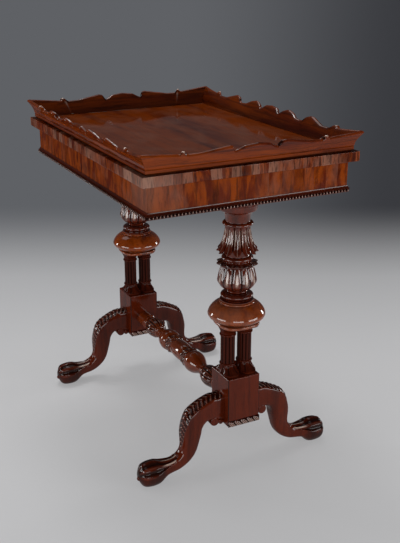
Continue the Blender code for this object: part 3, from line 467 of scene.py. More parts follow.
def wood(name, grain, tones, layers, gloss, coat=0.0, polish=0.05, leaf=None, figure=(0.03, 9),
         streak=(0.006, 24), rubbed_sheen=False):
    """A polished wood, with its grain along an axis.

    tones are the colours, and layers say how each pattern mixes one of them in: pattern, where it
    starts, where it is full, how much, colour. figure and streak are the widths of the broad bands and of
    the dark lines in metres, each with its length in widths. leaf is the width of the separate leaves of a
    crossbanded veneer. rubbed wood has its full polish only where hands rub it.
    """
    found = bpy.data.materials.get(name)
    if found:
        return found
    material = bpy.data.materials.new(name)
    tree = empty_tree(material)
    place = add_node(tree, "TexCoord", {})["Object"]
    wander = add_node(tree, "TexNoise", {"Vector": place, "Scale": 9.0, "Detail": 2.0})["Color"]
    wander = add_node(tree, "VectorMath", {0: wander, 1: GRAIN_WANDER}, operation="MULTIPLY")["Vector"]
    point = add_node(tree, "VectorMath", {0: place, 1: wander}, operation="ADD")["Vector"]
    patterns = {}
    if leaf:
        # Leaves lie side by side along X on the long sides and along Y on the ends
        run = add_node(tree, "VectorMath", {0: point, 1: (1, 1, 0.02)}, operation="DOT_PRODUCT")["Value"]
        cell = add_node(tree, "TexVoronoi", {"W": run, "Scale": 1 / leaf, "Randomness": 0.8},
                        voronoi_dimensions="1D")["Color"]
        chance = add_node(tree, "SeparateColor", {0: cell})
        corner = add_node(tree, "VectorMath", {0: point, 1: FADED_CORNER}, operation="DISTANCE")["Value"]
        patterns = {"leaf": chance["Red"], "leaf dark": chance["Green"], "corner": corner}
        jump = add_node(tree, "VectorMath", {0: cell, 1: LEAF_JUMP}, operation="MULTIPLY")["Vector"]
        point = add_node(tree, "VectorMath", {0: point, 1: jump}, operation="ADD")["Vector"]
    for key, (width, ratio), detail in (("figure", figure, 3.0), ("streak", streak, 4.0),
                                        ("pores", PORES, 1.0), ("cloud", CLOUD, 2.0)):
        scale = [1 / width] * 3
        scale["XYZ".index(grain)] /= ratio
        mapped = add_node(tree, "Mapping", {"Vector": point, "Scale": scale})["Vector"]
        patterns[key] = add_node(tree, "TexNoise", {"Vector": mapped, "Scale": 1.0, "Detail": detail,
                                                    "Roughness": 0.55, "Distortion": 0.4})["Fac"]
    recess = add_node(tree, "Attribute", {}, attribute_name="recess")["Fac"]
    patterns["recess"] = recess
    colour = tones["main"]
    for key, low, high, most, tint in layers + LAST_LAYERS:
        share = add_node(tree, "MapRange", {"Value": patterns[key], "From Min": low, "From Max": high,
                                            "To Max": most}, interpolation_type="SMOOTHSTEP")[0]
        colour = add_node(tree, "Mix", {0: share, 6: colour, 7: tones[tint]}, data_type="RGBA")[2]
    rough = add_node(tree, "MapRange", {"Value": patterns["streak"], "From Min": 0.3, "From Max": 0.7,
                                        "To Min": gloss + 0.06, "To Max": gloss})[0]
    dull = add_node(tree, "MapRange", {"Value": recess, "From Min": 0.2, "To Max": 0.2})[0]
    rough = add_node(tree, "Math", {0: rough, 1: dull}, operation="ADD")[0]
    relief = add_node(tree, "Math", {0: patterns["streak"], 1: patterns["pores"]}, operation="ADD")[0]
    bump = add_node(tree, "Bump", {"Height": relief, "Strength": 0.06, "Distance": 0.0004})["Normal"]
    if rubbed_sheen:
        coat = add_node(tree, "MapRange", {"Value": recess, "From Min": -0.1, "From Max": 0.0,
                                           "To Min": 1.0, "To Max": coat})[0]
    shader = add_node(tree, "BsdfPrincipled", {
        "Base Color": colour, "Roughness": rough, "Normal": bump, "IOR": 1.45, "Specular IOR Level": 0.0,
        "Coat Weight": coat, "Coat Roughness": polish, "Coat IOR": 1.5})["BSDF"]
    add_node(tree, "OutputMaterial", {"Surface": shader})
    return material


PLAIN = [("figure", 0.24, 0.64, 1.0, "heart"), ("streak", 0.58, 0.30, 0.3, "deep")]
ROSEWOODS = {
    # Veneer laid with its grain upright, in leaves of uneven width: orange-red, streaked with brown
    "crossband": dict(
        layers=[("figure", 0.34, 0.62, 0.95, "warm"), ("streak", 0.54, 0.30, 0.6, "deep"),
                ("leaf", 0.55, 1.0, 0.12, "pale"), ("leaf dark", 0.45, 1.0, 0.25, "deep"),
                ("cloud", 0.54, 0.74, 0.25, "pale"), ("corner", 0.11, 0.0, 0.45, "pale")],
        gloss=0.35, coat=0.15, polish=0.06, leaf=0.028, figure=(0.018, 3), streak=(0.009, 5)),
    # The same veneer on the edge of the top, more faded by light and handling
    "edge": dict(
        layers=[("figure", 0.36, 0.66, 0.9, "warm"), ("leaf", 0.35, 0.9, 0.85, "pale"),
                ("cloud", 0.45, 0.65, 0.45, "pale"), ("streak", 0.56, 0.32, 0.75, "deep"),
                ("leaf dark", 0.55, 1.0, 0.4, "deep"), ("corner", 0.12, 0.0, 0.11, "wear_and_sheen")],
        gloss=0.35, coat=0.3, polish=0.06, leaf=0.021, figure=(0.012, 3), streak=(0.005, 6)),
    # Long leaves of veneer, levelled and polished until they mirror
    "tray": dict(
        layers=[("figure", 0.28, 0.58, 0.85, "warm"), ("streak", 0.58, 0.30, 0.3, "deep"),
                ("cloud", 0.40, 0.70, 0.25, "pale")],
        gloss=0.2, coat=1.0, polish=0.08, figure=(0.05, 9)),
    # Solid wood shaped by hand, polished to a soft shine
    "gallery": dict(
        layers=[("figure", 0.30, 0.66, 0.8, "warm"), ("streak", 0.58, 0.30, 0.55, "deep")],
        gloss=0.3, coat=0.45, polish=0.07, rubbed_sheen=True),
    # Solid wood cut with chisels: waxed, with old wax and painted shade in the hollows
    "carved": dict(layers=PLAIN, gloss=0.3, coat=1.0, polish=0.08, figure=(0.02, 9)),
    # The same wood on the narrow columns, darker as painted shade from the cap above, and dulled by wax that
    # a cloth does not reach
    "reeded": dict(
        layers=[("figure", 0.30, 0.72, 0.5, "heart"), ("streak", 0.58, 0.30, 0.3, "deep")],
        gloss=0.4, coat=0.2, polish=0.12, figure=(0.02, 9)),
    # Solid wood of the base, darker and plain, scraped smooth and polished
    "base": dict(layers=PLAIN, gloss=0.26, coat=0.45, polish=0.05, figure=(0.035, 9), rubbed_sheen=True),
    # Solid wood turned on the lathe, with a high polish
    "solid": dict(
        layers=[("figure", 0.22, 0.56, 1.0, "warm"), ("streak", 0.56, 0.30, 0.35, "deep"),
                ("cloud", 0.38, 0.68, 0.32, "pale")],
        gloss=0.22, coat=1.0, polish=0.07, figure=(0.035, 9)),
    # The same on the stretcher, with fainter bands
    "stretcher": dict(
        layers=[("figure", 0.22, 0.56, 0.4, "warm"), ("streak", 0.56, 0.30, 0.35, "deep"),
                ("cloud", 0.38, 0.68, 0.128, "pale")],
        gloss=0.22, coat=1.0, polish=0.07, figure=(0.035, 9)),
}


def rosewood(kind, grain="Z"):
    """French-polished rosewood: red-brown with near-black lines, and a hard clear gloss over it."""
    c = colours()
    tones = {key: list(getattr(c, key)) for key in ("deep", "dark", "heart", "warm", "pale", "wear_and_sheen", "wax_and_shade")}
    tones["main"] = tones["dark"] if kind in ("carved", "base", "reeded") else tones["heart"]
    return wood("rosewood_%s_grain_%s" % (kind, grain.lower()), grain, tones, **ROSEWOODS[kind])


def mahogany(grain):
    """Planed mahogany of the inside: mid brown, straight grain, only waxed."""
    c = colours()
    tones = {"main": list(c.mahogany), "deep": list(c.mahogany_dark), "wear_and_sheen": list(c.mahogany),
             "wax_and_shade": list(c.wax_and_shade)}
    layers = [("streak", 0.60, 0.30, 0.5, "deep"), ("figure", 0.5, 0.3, 0.4, "deep")]
    return wood("mahogany_lining_grain_" + grain.lower(), grain, tones, layers, 0.5, streak=(0.003, 24))


# Pieces


TOP_LIP = 0.003


class WORKTABLE_OT_top(bpy.types.Operator):
    """Top board: crossbanded edge, moulded lower lip and the polished tray floor"""
    bl_idname = "work_table.top"
    bl_label = "Top board"

    def execute(self, context):
        edge = sizes().edge
        shelf = GALLERY_FOOT - GLUE_GAP
        obj = box("top_board_veneered", BOARD_LOW, Vector((BOARD_HIGH.x, BOARD_HIGH.y, shelf)))
        self.round_lip(obj)
        round_edges(obj, edge)
        self.pick(obj, lambda face: face.normal.z > 0.99)
        bpy.ops.mesh.inset(thickness=GALLERY_INSET + GALLERY_BASE + GLUE_GAP - edge)
        bpy.ops.mesh.extrude_region_move(TRANSFORM_OT_translate={"value": (0, 0, BOARD_HIGH.z - shelf)})
        bpy.ops.object.mode_set(mode="OBJECT")
        fit(obj, rosewood("edge"), "rosewood_crossband", flat=True)
        obj.data.materials.append(rosewood("tray", "X"))
        for face in obj.data.polygons:
            face.material_index = int(face.normal.z > 0.9 and face.center.z > shelf + MERGE_DISTANCE)
        return {"FINISHED"}

    def pick(self, obj, test):
        """Select the faces that pass the test, in edit mode."""
        take(obj)
        bpy.ops.object.mode_set(mode="EDIT")
        bpy.ops.mesh.select_all(action="DESELECT")
        bpy.ops.object.mode_set(mode="OBJECT")
        for face in obj.data.polygons:
            face.select = test(face)
        bpy.ops.object.mode_set(mode="EDIT")
        bpy.ops.mesh.select_mode(type="FACE")

    def round_lip(self, obj):
        """Round the lower edge into the lip that shows as a pale line under the band."""
        self.pick(obj, lambda face: face.normal.z < -0.99)
        bpy.ops.mesh.bevel(offset=TOP_LIP, segments=5, profile=0.5)
        bpy.ops.object.mode_set(mode="OBJECT")


# Gallery section
GALLERY_INSET = 0.009
GALLERY_FLARE = 0.0134
GALLERY_HOLLOW = 1.7
GALLERY_BASE = 0.013
GALLERY_EDGE = 0.0085
GALLERY_FILLET = 0.0095
QUIRK_HEIGHT = 0.0028
QUIRK_DEPTH = 0.003
GALLERY_OVERHANG = BOARD_HIGH.x - HALF_LENGTH

# Half outlines of the gallery's top edge, from the middle of a side to its corner: share of the half
# length and share of the scroll depth cut away
LONG_SCROLL = [(0.0, 0.08), (0.07, 0.25), (0.113, 0.95), (0.125, 1.0), (0.15, 0.45), (0.19, 0.08),
               (0.215, 0.0), (0.275, 0.3), (0.335, 0.9), (0.395, 1.0), (0.425, 0.85), (0.435, 0.3),
               (0.465, 0.05), (0.495, 0.0), (0.555, 0.35), (0.635, 0.85), (0.725, 0.85), (0.75, 0.3),
               (0.775, 0.2), (0.79, 0.6), (0.895, 0.35), (1.0, 0.0)]
SHORT_SCROLL = [(0.0, 0.05), (0.115, 0.3), (0.18, 0.9), (0.21, 1.0), (0.22, 0.15), (0.255, 0.0),
                (0.365, 0.3), (0.51, 0.7), (0.63, 0.75), (0.645, 0.25), (0.67, 0.15), (0.685, 0.6),
                (0.80, 0.4), (1.0, 0.0)]
LONG_BUTTON, SHORT_BUTTON = 0.764, 0.66
BUTTON_RADIUS, BUTTON_RISE = 0.0044, 0.0006
RIB_DEPTH, RIB_WIDTH = 0.0012, 0.0035
# The scrolls' outline is drawn in this many steps, and softened over a few of them on each side
SCROLL_STEPS, BLUR_STEPS = 1000, 30
SCROLL_BLUR = 0.0016


class WORKTABLE_OT_gallery(bpy.types.Operator):
    """Gallery round the tray: flared, scroll-cut along its top and mitred at the corners"""
    bl_idname = "work_table.gallery"
    bl_label = "Gallery"

    def execute(self, context):
        for side, other, scroll, button, grain, columns in (
                ("front", "back", LONG_SCROLL, LONG_BUTTON, "X", 420),
                ("right", "left", SHORT_SCROLL, SHORT_BUTTON, "Y", 300)):
            obj = self.make(side, scroll, button, columns)
            fit_both(obj, rosewood("gallery", grain), "rosewood_solid", side, other, HALF_TURN)
        return {"FINISHED"}

    def make(self, side, scroll, button, columns):
        inset = GALLERY_INSET - GALLERY_OVERHANG
        outward, along, distance, half = SIDES[side]
        shares = np.linspace(0, 1, SCROLL_STEPS + 1)
        reach = np.arange(-BLUR_STEPS, BLUR_STEPS + 1)
        blur = np.exp(-0.5 * (reach * half / SCROLL_STEPS / SCROLL_BLUR) ** 2)
        cut = np.pad(np.interp(shares, *zip(*scroll)), BLUR_STEPS, mode="reflect")
        tops = GALLERY_HEIGHT - sizes().scroll_depth * np.convolve(cut, blur / blur.sum(), mode="valid")
        slopes = np.abs(np.gradient(tops, half / SCROLL_STEPS))
        rubbed_sheen = 0.1 if side == "front" else 0.04

        def section(share):
            # Steep ends of the scrolls are painted dark as shade, and the rest of the top edge is painted
            # pale as wear and highlight, more on the front
            wear_and_sheen = 0.9 * step(0.7, 1.2, np.interp(share, shares, slopes)) - rubbed_sheen
            rib = ridge(share, button, RIB_WIDTH / half) if side == "right" else 0.0
            return self.section(np.interp(share, shares, tops), wear_and_sheen, rib)
        strip = side_strip("gallery_%s_scrolled" % side, side, section, columns, inset, GALLERY_FOOT)
        top = np.interp(button, shares, tops)
        out = self.flare(top - GALLERY_EDGE / 2) - GALLERY_EDGE / 2 - inset
        place = along * button * (half + out) + outward * (distance + out)
        first = self.button(place + Vector((0, 0, GALLERY_FOOT + top - BUTTON_RADIUS + BUTTON_RISE)))
        other = copy_of(first, "button", Matrix.Translation(-2 * button * (half + out) * along))
        return join([strip, first, other])

    def button(self, place):
        """A small ball on the tip between two scrolls."""
        made = ball("button", BUTTON_RADIUS, place, *FINE_BALL)
        # The top of the ball is painted pale as a highlight.
        reshape(made, lambda x, y, z: (x, y, z, -0.7 * step(0.2, 0.8, (z - place.z) / BUTTON_RADIUS)))
        return made

    def flare(self, z):
        """How far the hollow face leans out at a height."""
        rise = np.clip(z - GALLERY_FILLET, 0, None) / (GALLERY_HEIGHT - GALLERY_EDGE / 2 - GALLERY_FILLET)
        return GALLERY_FLARE * rise ** GALLERY_HOLLOW

    def section(self, top, wear_and_sheen, rib):
        """Quirk, fillet, hollow face, rounded top edge, and the inner face with its upright ribs."""
        radius = GALLERY_EDGE / 2
        spring = top - radius
        # The quirk under the gallery and the step at the top of the fillet are painted dark as shade.
        rows = [(-QUIRK_DEPTH, 0.0, 0.6), (-QUIRK_DEPTH, QUIRK_HEIGHT, 0.9), (-0.0004, QUIRK_HEIGHT, 0.2),
                (0.0, QUIRK_HEIGHT + 0.0006, 0.0), (0.0, GALLERY_FILLET - 0.0005, 0.0),
                (-0.0009, GALLERY_FILLET, 0.4)]
        for share in np.linspace(0.06, 1, 9):
            z = GALLERY_FILLET + (spring - GALLERY_FILLET) * share
            rows.append((self.flare(z), z, 0.0))
        middle = self.flare(spring) - radius
        for a in np.linspace(0, math.pi, 9)[1:]:
            rows.append((middle + radius * math.cos(a), spring + radius * math.sin(a), wear_and_sheen))
        inner_top = middle - radius
        # The inner face is painted darker towards its foot as shade, and paler on its ribs as a highlight.
        for share in np.linspace(0.85, 0.12, 6):
            inner = -GALLERY_BASE + (inner_top + GALLERY_BASE) * share ** 1.35
            rows.append((inner - RIB_DEPTH * rib, spring * share, 0.5 - 0.5 * share - 0.5 * rib))
        rows += [(-GALLERY_BASE, 0.0025, 0.3), (-GALLERY_BASE, 0.0, 0.6)]
        return rows


# Corners of a frieze board's section, as shares of its thickness and height
FRIEZE_FACE = [(0.0, 0.0), (0.0, 1.0), (-1.0, 1.0), (-1.0, 0.0)]


class WORKTABLE_OT_frieze(bpy.types.Operator):
    """Frieze boards and the stiles beside the drawer, veneered across their width"""
    bl_idname = "work_table.frieze"
    bl_label = "Frieze"

    def execute(self, context):
        veneer = rosewood("crossband")
        front = self.make("frieze_front_veneered", "front")
        right = self.make("frieze_right_veneered", "right")
        left = copy_of(right, "frieze_left_veneered", HALF_TURN)
        stiles = [self.make("frieze_stile_%s_veneered" % end, "back", start)
                  for end, start in (("right", -STILE_INNER), ("left", STILE_INNER))]
        for piece in (front, right, left, *stiles):
            fit(piece, veneer, "rosewood_veneer", flat=True)
        return {"FINISHED"}

    def make(self, name, side, start=None):
        height = FRIEZE_TOP - FRIEZE_BOTTOM

        def section(share):
            return [(n * FRIEZE_THICKNESS, up * height, 0.0) for n, up in FRIEZE_FACE]
        obj = side_strip(name, side, section, 1, 0.0, FRIEZE_BOTTOM, start)
        round_edges(obj, sizes().edge)
        return obj


# Bead moulding: distances out from the frieze, and heights above its foot
BEAD_BACK = 0.0026
BEAD_TOE = 0.0036
BEAD_BAND = 0.0074
BEAD_FILLET = 0.0056
BEAD_TOP = 0.0135
BEAD_COVE_END = 0.0012
BEAD_STAND, BEAD_LIFT = 0.0011, 0.0006


class WORKTABLE_OT_beads(bpy.types.Operator):
    """Beaded mouldings along the foot of the frieze, each bead a separate boss on its moulding"""
    bl_idname = "work_table.beads"
    bl_label = "Beaded mouldings"

    def execute(self, context):
        for side, other in (("front", "back"), ("right", "left")):
            grain = "X" if side == "front" else "Y"
            fit_both(self.make(side), rosewood("base", grain), "rosewood_carved", side, other, HALF_TURN)
        return {"FINISHED"}

    def make(self, side):
        cove = quarter((BEAD_FILLET, BEAD_BAND + 0.0006), (BEAD_COVE_END, BEAD_TOP), 8, True)
        # The underside, the band behind the beads and the cove are painted darker as shade.
        rows = [(GLUE_GAP, 0.0, 0.5), (BEAD_TOE - 0.0006, 0.0, 0.0), (BEAD_TOE, 0.0005, 0.0),
                (BEAD_TOE, 0.0010, 0.0), (BEAD_BACK, 0.0013, 0.9), (BEAD_BACK, BEAD_BAND - 0.0002, 0.9),
                (BEAD_FILLET - 0.0003, BEAD_BAND, 0.0)]
        rows += [(n, up, 0.4) for n, up in cove] + [(GLUE_GAP, BEAD_TOP, 0.0)]
        strip = side_strip("bead_moulding_%s_beaded" % side, side, lambda share: rows, 1, 0.0, FRIEZE_BOTTOM)
        outward, along, distance, half = SIDES[side]
        radius = sizes().bead_radius
        run = 2 * (half + BEAD_BACK)
        beads = round(run / sizes().bead_pitch)
        pitch = run / beads
        first = along * (pitch - run) / 2 + outward * (distance + BEAD_BACK + BEAD_STAND)
        place = first + Vector((0, 0, FRIEZE_BOTTOM + BEAD_LIFT + radius))
        bead = ball("bead", radius, place, *BEAD_BALL, outward.to_track_quat("Z", "X").to_euler())

        def wear_and_sheen(x, y, z):
            """Painted shade round a bead, and an upright painted highlight on its face."""
            ahead = ((x - place.x) * outward.x + (y - place.y) * outward.y) / radius
            aside = np.abs((x - place.x) * along.x + (y - place.y) * along.y) / radius
            return x, y, z, 0.9 - 1.6 * step(0.35, 0.6, ahead) * (1 - step(0.1, 0.45, aside))
        reshape(bead, wear_and_sheen)
        row = bead.modifiers.new("row", "ARRAY")
        row.count = beads
        row.use_relative_offset = False
        row.use_constant_offset = True
        row.constant_offset_displace = along * pitch
        bpy.ops.object.modifier_apply(modifier=row.name)
        return join([strip, bead])


# Levels of the baluster above the bun, and its radii
TORUS_FOOT, TORUS_TOP, RING_TOP = 0.0045, 0.0176, 0.0235
CUP_SHOULDER, CUP_TOP, FLANGE, COLLAR_FOOT = 0.0445, 0.0775, 0.0832, 0.0885
COLLAR_TOP, LOTUS_TIP, LOTUS_TOP, CAPITAL_FOOT, CAPITAL_RIM = 0.0995, 0.1080, 0.1635, 0.1735, 0.1985
CAPITAL_RADIUS, CAPITAL_NECK = 0.041, 0.0262
ASTRAGAL_RADIUS = 0.0325
LOTUS_RADIUS, LOTUS_NECK = 0.0415, 0.0262
COLLAR_RADIUS, COLLAR_NECK = 0.0335, 0.0262
FLANGE_RADIUS = 0.0445
CUP_RADIUS, CUP_NECK, CUP_MOUTH = 0.0422, 0.0182, 0.0335
RING_RADIUS, TORUS_RADIUS = 0.0225, 0.035
BUN_NECK, BUN_FOOT = 0.0360, 0.0385
# How far a lotus leaf's tip hangs below its sides and curls out, and how far a flange leaf is cut back
LEAF_POINT, LEAF_CURL, FLANGE_CUT = 0.012, 0.0024, 0.0065
# Relief of the leaves and lobes
LEAF_RIB, LEAF_HOLLOW, LEAF_ROLL = 0.0010, 0.0022, 0.0008
FLANGE_RIB, FLANGE_RISE, LOBE_POINT = 0.0006, 0.0012, 0.0022


class WORKTABLE_OT_balusters(bpy.types.Operator):
    """Lotus balusters: capital, hanging leaves, collar and lobed cup, turned and carved from one piece"""
    bl_idname = "work_table.balusters"
    bl_label = "Lotus balusters"

    def execute(self, context):
        fit_both(self.make(), rosewood("carved"), "rosewood_carved")
        return {"FINISHED"}

    def make(self):
        top = FRIEZE_BOTTOM - BUN_HIGH.z - GLUE_GAP
        t = np.linspace(0, 1, 27)
        lotus = curve((LOTUS_NECK, LOTUS_TOP), (LOTUS_RADIUS, LOTUS_TIP), t ** 2, t)
        rim = CAPITAL_RADIUS
        drum = [(rim - 0.001, top), (rim, top - 0.001), (rim, top - 0.006), (rim - 0.0016, top - 0.0072),
                (rim - 0.0016, top - 0.0086), (rim - 0.0004, top - 0.0096),
                (rim - 0.0004, CAPITAL_RIM + 0.003), (rim - 0.0012, CAPITAL_RIM + 0.0006)]
        zones = [
            ("head", [(0.0, top)]),
            ("drum", drum),
            ("cove", quarter((rim - 0.0024, CAPITAL_RIM), (CAPITAL_NECK, CAPITAL_FOOT + 0.0008), 12, True)),
            ("astragal", swell(CAPITAL_NECK, ASTRAGAL_RADIUS, CAPITAL_FOOT, LOTUS_TOP + 0.0006, 6)),
            ("lotus", lotus),
            ("lip", quarter((LOTUS_RADIUS, LOTUS_TIP), (LOTUS_RADIUS - 0.003, LOTUS_TIP - 0.0018), 4, False)),
            ("under", straight((LOTUS_RADIUS - 0.0035, LOTUS_TIP - 0.001),
                               (COLLAR_NECK, LOTUS_TIP + 0.008), 6)),
            ("neck", straight((COLLAR_NECK, LOTUS_TIP + 0.002), (COLLAR_NECK, COLLAR_TOP + 0.0004), 3)),
            ("collar", swell(COLLAR_NECK, COLLAR_RADIUS, COLLAR_TOP, COLLAR_FOOT, 6)),
            ("flange", quarter((COLLAR_NECK + 0.0015, COLLAR_FOOT), (FLANGE_RADIUS, FLANGE), 8, False)),
            ("edge", quarter((FLANGE_RADIUS, FLANGE - 0.0008),
                             (CUP_MOUTH + 0.001, CUP_TOP + 0.0012), 6, False)),
            ("cup", quarter((CUP_MOUTH, CUP_TOP), (CUP_RADIUS, CUP_SHOULDER), 16, True, 1.7)
             + quarter((CUP_RADIUS, CUP_SHOULDER), (CUP_NECK, RING_TOP), 20, False, 1.15)[1:]),
            ("ring", swell(CUP_NECK, RING_RADIUS, RING_TOP, TORUS_TOP, 4)),
            ("torus", swell(RING_RADIUS - 0.001, TORUS_RADIUS, TORUS_TOP - 0.0002, TORUS_FOOT, 8)),
            ("foot", [(BUN_NECK - 0.006, TORUS_FOOT - 0.0004), (BUN_NECK - 0.006, 0.0026),
                      (BUN_NECK - 0.0006, 0.0022), (BUN_NECK, 0.0016), (BUN_NECK, GLUE_GAP),
                      (0.0, GLUE_GAP)]),
        ]
        cuts = {"lotus": self.lotus, "lip": self.lip, "under": self.under, "flange": self.flange,
                "edge": self.flange_edge, "cup": self.cup}
        return carve_turned("lotus_baluster_right_carved", zones, 12 * sizes().leaf_count,
                            (SUPPORT_X, 0, BUN_HIGH.z), cuts)

    def leaf_cut(self, leaf, share):
        """Section across a hanging leaf: ribbed in the middle, hollow beside the rib, rolled at its edges."""
        side = np.abs(leaf)
        depth = sizes().leaf_depth * (0.35 + 0.65 * share ** 1.5)
        cut = -depth * step(0.74, 1.0, side)
        cut += LEAF_RIB * ridge(leaf, 0, 0.12) * step(0.05, 0.3, share)
        cut -= LEAF_HOLLOW * ridge(side, 0.40, 0.22) * (0.35 + 0.65 * share)
        cut += LEAF_ROLL * ridge(side, 0.72, 0.10)
        # The sides and middle rib of each leaf are painted pale as highlights, and the cuts between the
        # leaves dark as shade.
        pale = 0.65 * ridge(side, 0.62, 0.14) * (1 - step(0.6, 0.85, share)) + 0.3 * ridge(leaf, 0, 0.12)
        return cut, 0.95 * step(0.80, 0.95, side) - pale

    def lotus(self, angle, share):
        leaf = across(angle, sizes().leaf_count)
        cut, recess = self.leaf_cut(leaf, share)
        rise = LEAF_POINT * np.abs(leaf) ** 2 * step(0.5, 1.0, share)
        curl = LEAF_CURL * step(0.86, 1.0, share) * (1 - np.abs(leaf))
        return cut + curl, rise, recess * step(0.02, 0.15, share)

    def lip(self, angle, share):
        leaf = across(angle, sizes().leaf_count)
        cut, recess = self.leaf_cut(leaf, np.ones(len(share)))
        return cut + LEAF_CURL * (1 - np.abs(leaf)) * (1 - share), LEAF_POINT * np.abs(leaf) ** 2, recess

    def under(self, angle, share):
        leaf = across(angle, sizes().leaf_count)
        cut, _ = self.leaf_cut(leaf, np.ones(len(share)))
        # The underside of the leaf tips is painted dark as shade.
        return cut * (1 - share), LEAF_POINT * np.abs(leaf) ** 2 * (1 - share), 0.7 + 0.3 * share

    def flange(self, angle, share):
        """Leaves that lie out over the cup, pointed between the lotus leaves."""
        leaf = np.abs(across(angle, sizes().leaf_count, 0.5))
        out = -FLANGE_CUT * leaf ** 1.5 * share + FLANGE_RIB * ridge(leaf, 0, 0.16) * share
        # Dark at the cuts between leaves as painted shade, pale along their middles as a painted highlight.
        recess = (0.8 * step(0.6, 1.0, leaf) - 0.4 * ridge(leaf, 0, 0.3)) * share
        return out, FLANGE_RISE * leaf * share, recess

    def flange_edge(self, angle, share):
        leaf = np.abs(across(angle, sizes().leaf_count, 0.5))
        out = -FLANGE_CUT * leaf ** 1.5 * (1 - share)
        # Painted darker towards the cup, as the shade under the flange.
        return out, FLANGE_RISE * leaf * (1 - share), 0.4 + 0.6 * share

    def cup(self, angle, share):
        """Rounded lobes parted by deep cuts, pointed at their upper ends."""
        lobe = np.abs(across(angle, sizes().leaf_count))
        fade = step(0.0, 0.10, share) * (1 - step(0.88, 1.0, share))
        cut = -sizes().lobe_depth * (1 - np.sqrt(np.clip(1 - lobe ** 2.2, 0, 1)))
        tip = -LOBE_POINT * step(0.2, 1.0, lobe) * (1 - step(0.0, 0.35, share))
        # Each lobe is painted pale in its upper middle as a highlight, and the cuts between lobes dark as
        # shade.
        crest = 0.6 * ridge(lobe, 0.0, 0.35) * ridge(share, 0.36, 0.2)
        return (cut + tip) * fade, 0 * share, 0.95 * step(0.74, 0.94, lobe) * fade - crest


# The caps spread a little further than their solids and are rounder
CAP_REACH = CAP_FACE + 0.008
CAP_ROUNDING, CAP_SQUARENESS, CAP_SIDES = 0.0024, 3, 96
# The bun's widest level, down from its top
BUN_BELLY, BUN_SIDES = 0.031, 72


class WORKTABLE_OT_buns(bpy.types.Operator):
    """Buns and the round-cornered caps under them"""
    bl_idname = "work_table.buns"
    bl_label = "Buns and caps"

    def execute(self, context):
        height = BUN_HIGH.z - BUN_LOW.z
        radius = (BUN_HIGH.x - BUN_LOW.x) / 2
        belly = height - BUN_BELLY
        profile = [(0.0, height), (BUN_NECK - 0.0006, height), (BUN_NECK, height - 0.0006)]
        profile += swell(BUN_NECK - 0.001, BUN_NECK + 0.0024, height - 0.0012, height - 0.0058, 5)
        profile += quarter((BUN_NECK + 0.002, height - 0.0058), (radius, belly), 18, True, 1.3)
        profile += quarter((radius, belly), (BUN_FOOT, 0.0034), 18, False)[1:]
        profile += [(BUN_FOOT - 0.002, 0.003), (BUN_FOOT - 0.002, 0.0024), (BUN_FOOT, 0.002), (BUN_FOOT, 0.0),
                    (0.0, 0.0)]
        bun = turn("bun_right_polished", profile, BUN_SIDES, (SUPPORT_X, 0, BUN_LOW.z))
        deep = CAP_HIGH.z - CAP_LOW.z
        inner = CAP_REACH - CAP_ROUNDING
        edge = quarter((inner, deep), (CAP_REACH, deep - CAP_ROUNDING), 4, True)
        edge += quarter((CAP_REACH, CAP_ROUNDING), (inner, 0.0), 4, False)
        zones = [("lid", [(0.0, deep)]), ("edge", edge), ("sole", [(0.0, 0.0)])]
        cap = carve_turned("column_cap_right_moulded", zones, CAP_SIDES, (SUPPORT_X, 0, CAP_LOW.z),
                           {"edge": self.cap_outline})
        for obj in (bun, cap):
            fit_both(obj, rosewood("solid"), "rosewood_solid", flat=True)
        return {"FINISHED"}

    def cap_outline(self, angle, share):
        return squared(angle, CAP_REACH, CAP_REACH, CAP_SQUARENESS) - CAP_REACH, 0 * share, 0 * share


# Columns: radii, heights from their ends, and how far their heads and feet spread from the support's middle
COLUMN_RADIUS = 0.0156
COLUMN_FOOT_REACH, COLUMN_FOOT_WIDTH, COLUMN_BASE_HEIGHT = BLOCK_FACE - 0.005, 0.020, 0.021
COLUMN_RING_RADIUS = 0.0182
COLUMN_HEAD_HEIGHT, COLUMN_RING_HEIGHT = 0.024, 0.005
COLUMN_HEAD_REACH = CAP_REACH - 0.003
COLUMN_HEAD_MARGIN = 0.0012
HEAD_VEINS, VEIN_DEPTH = 16, 0.0007
BELL_LEAVES, BELL_CUT, BELL_RIB, BELL_HOLLOW = 8, 0.0022, 0.0009, 0.0009


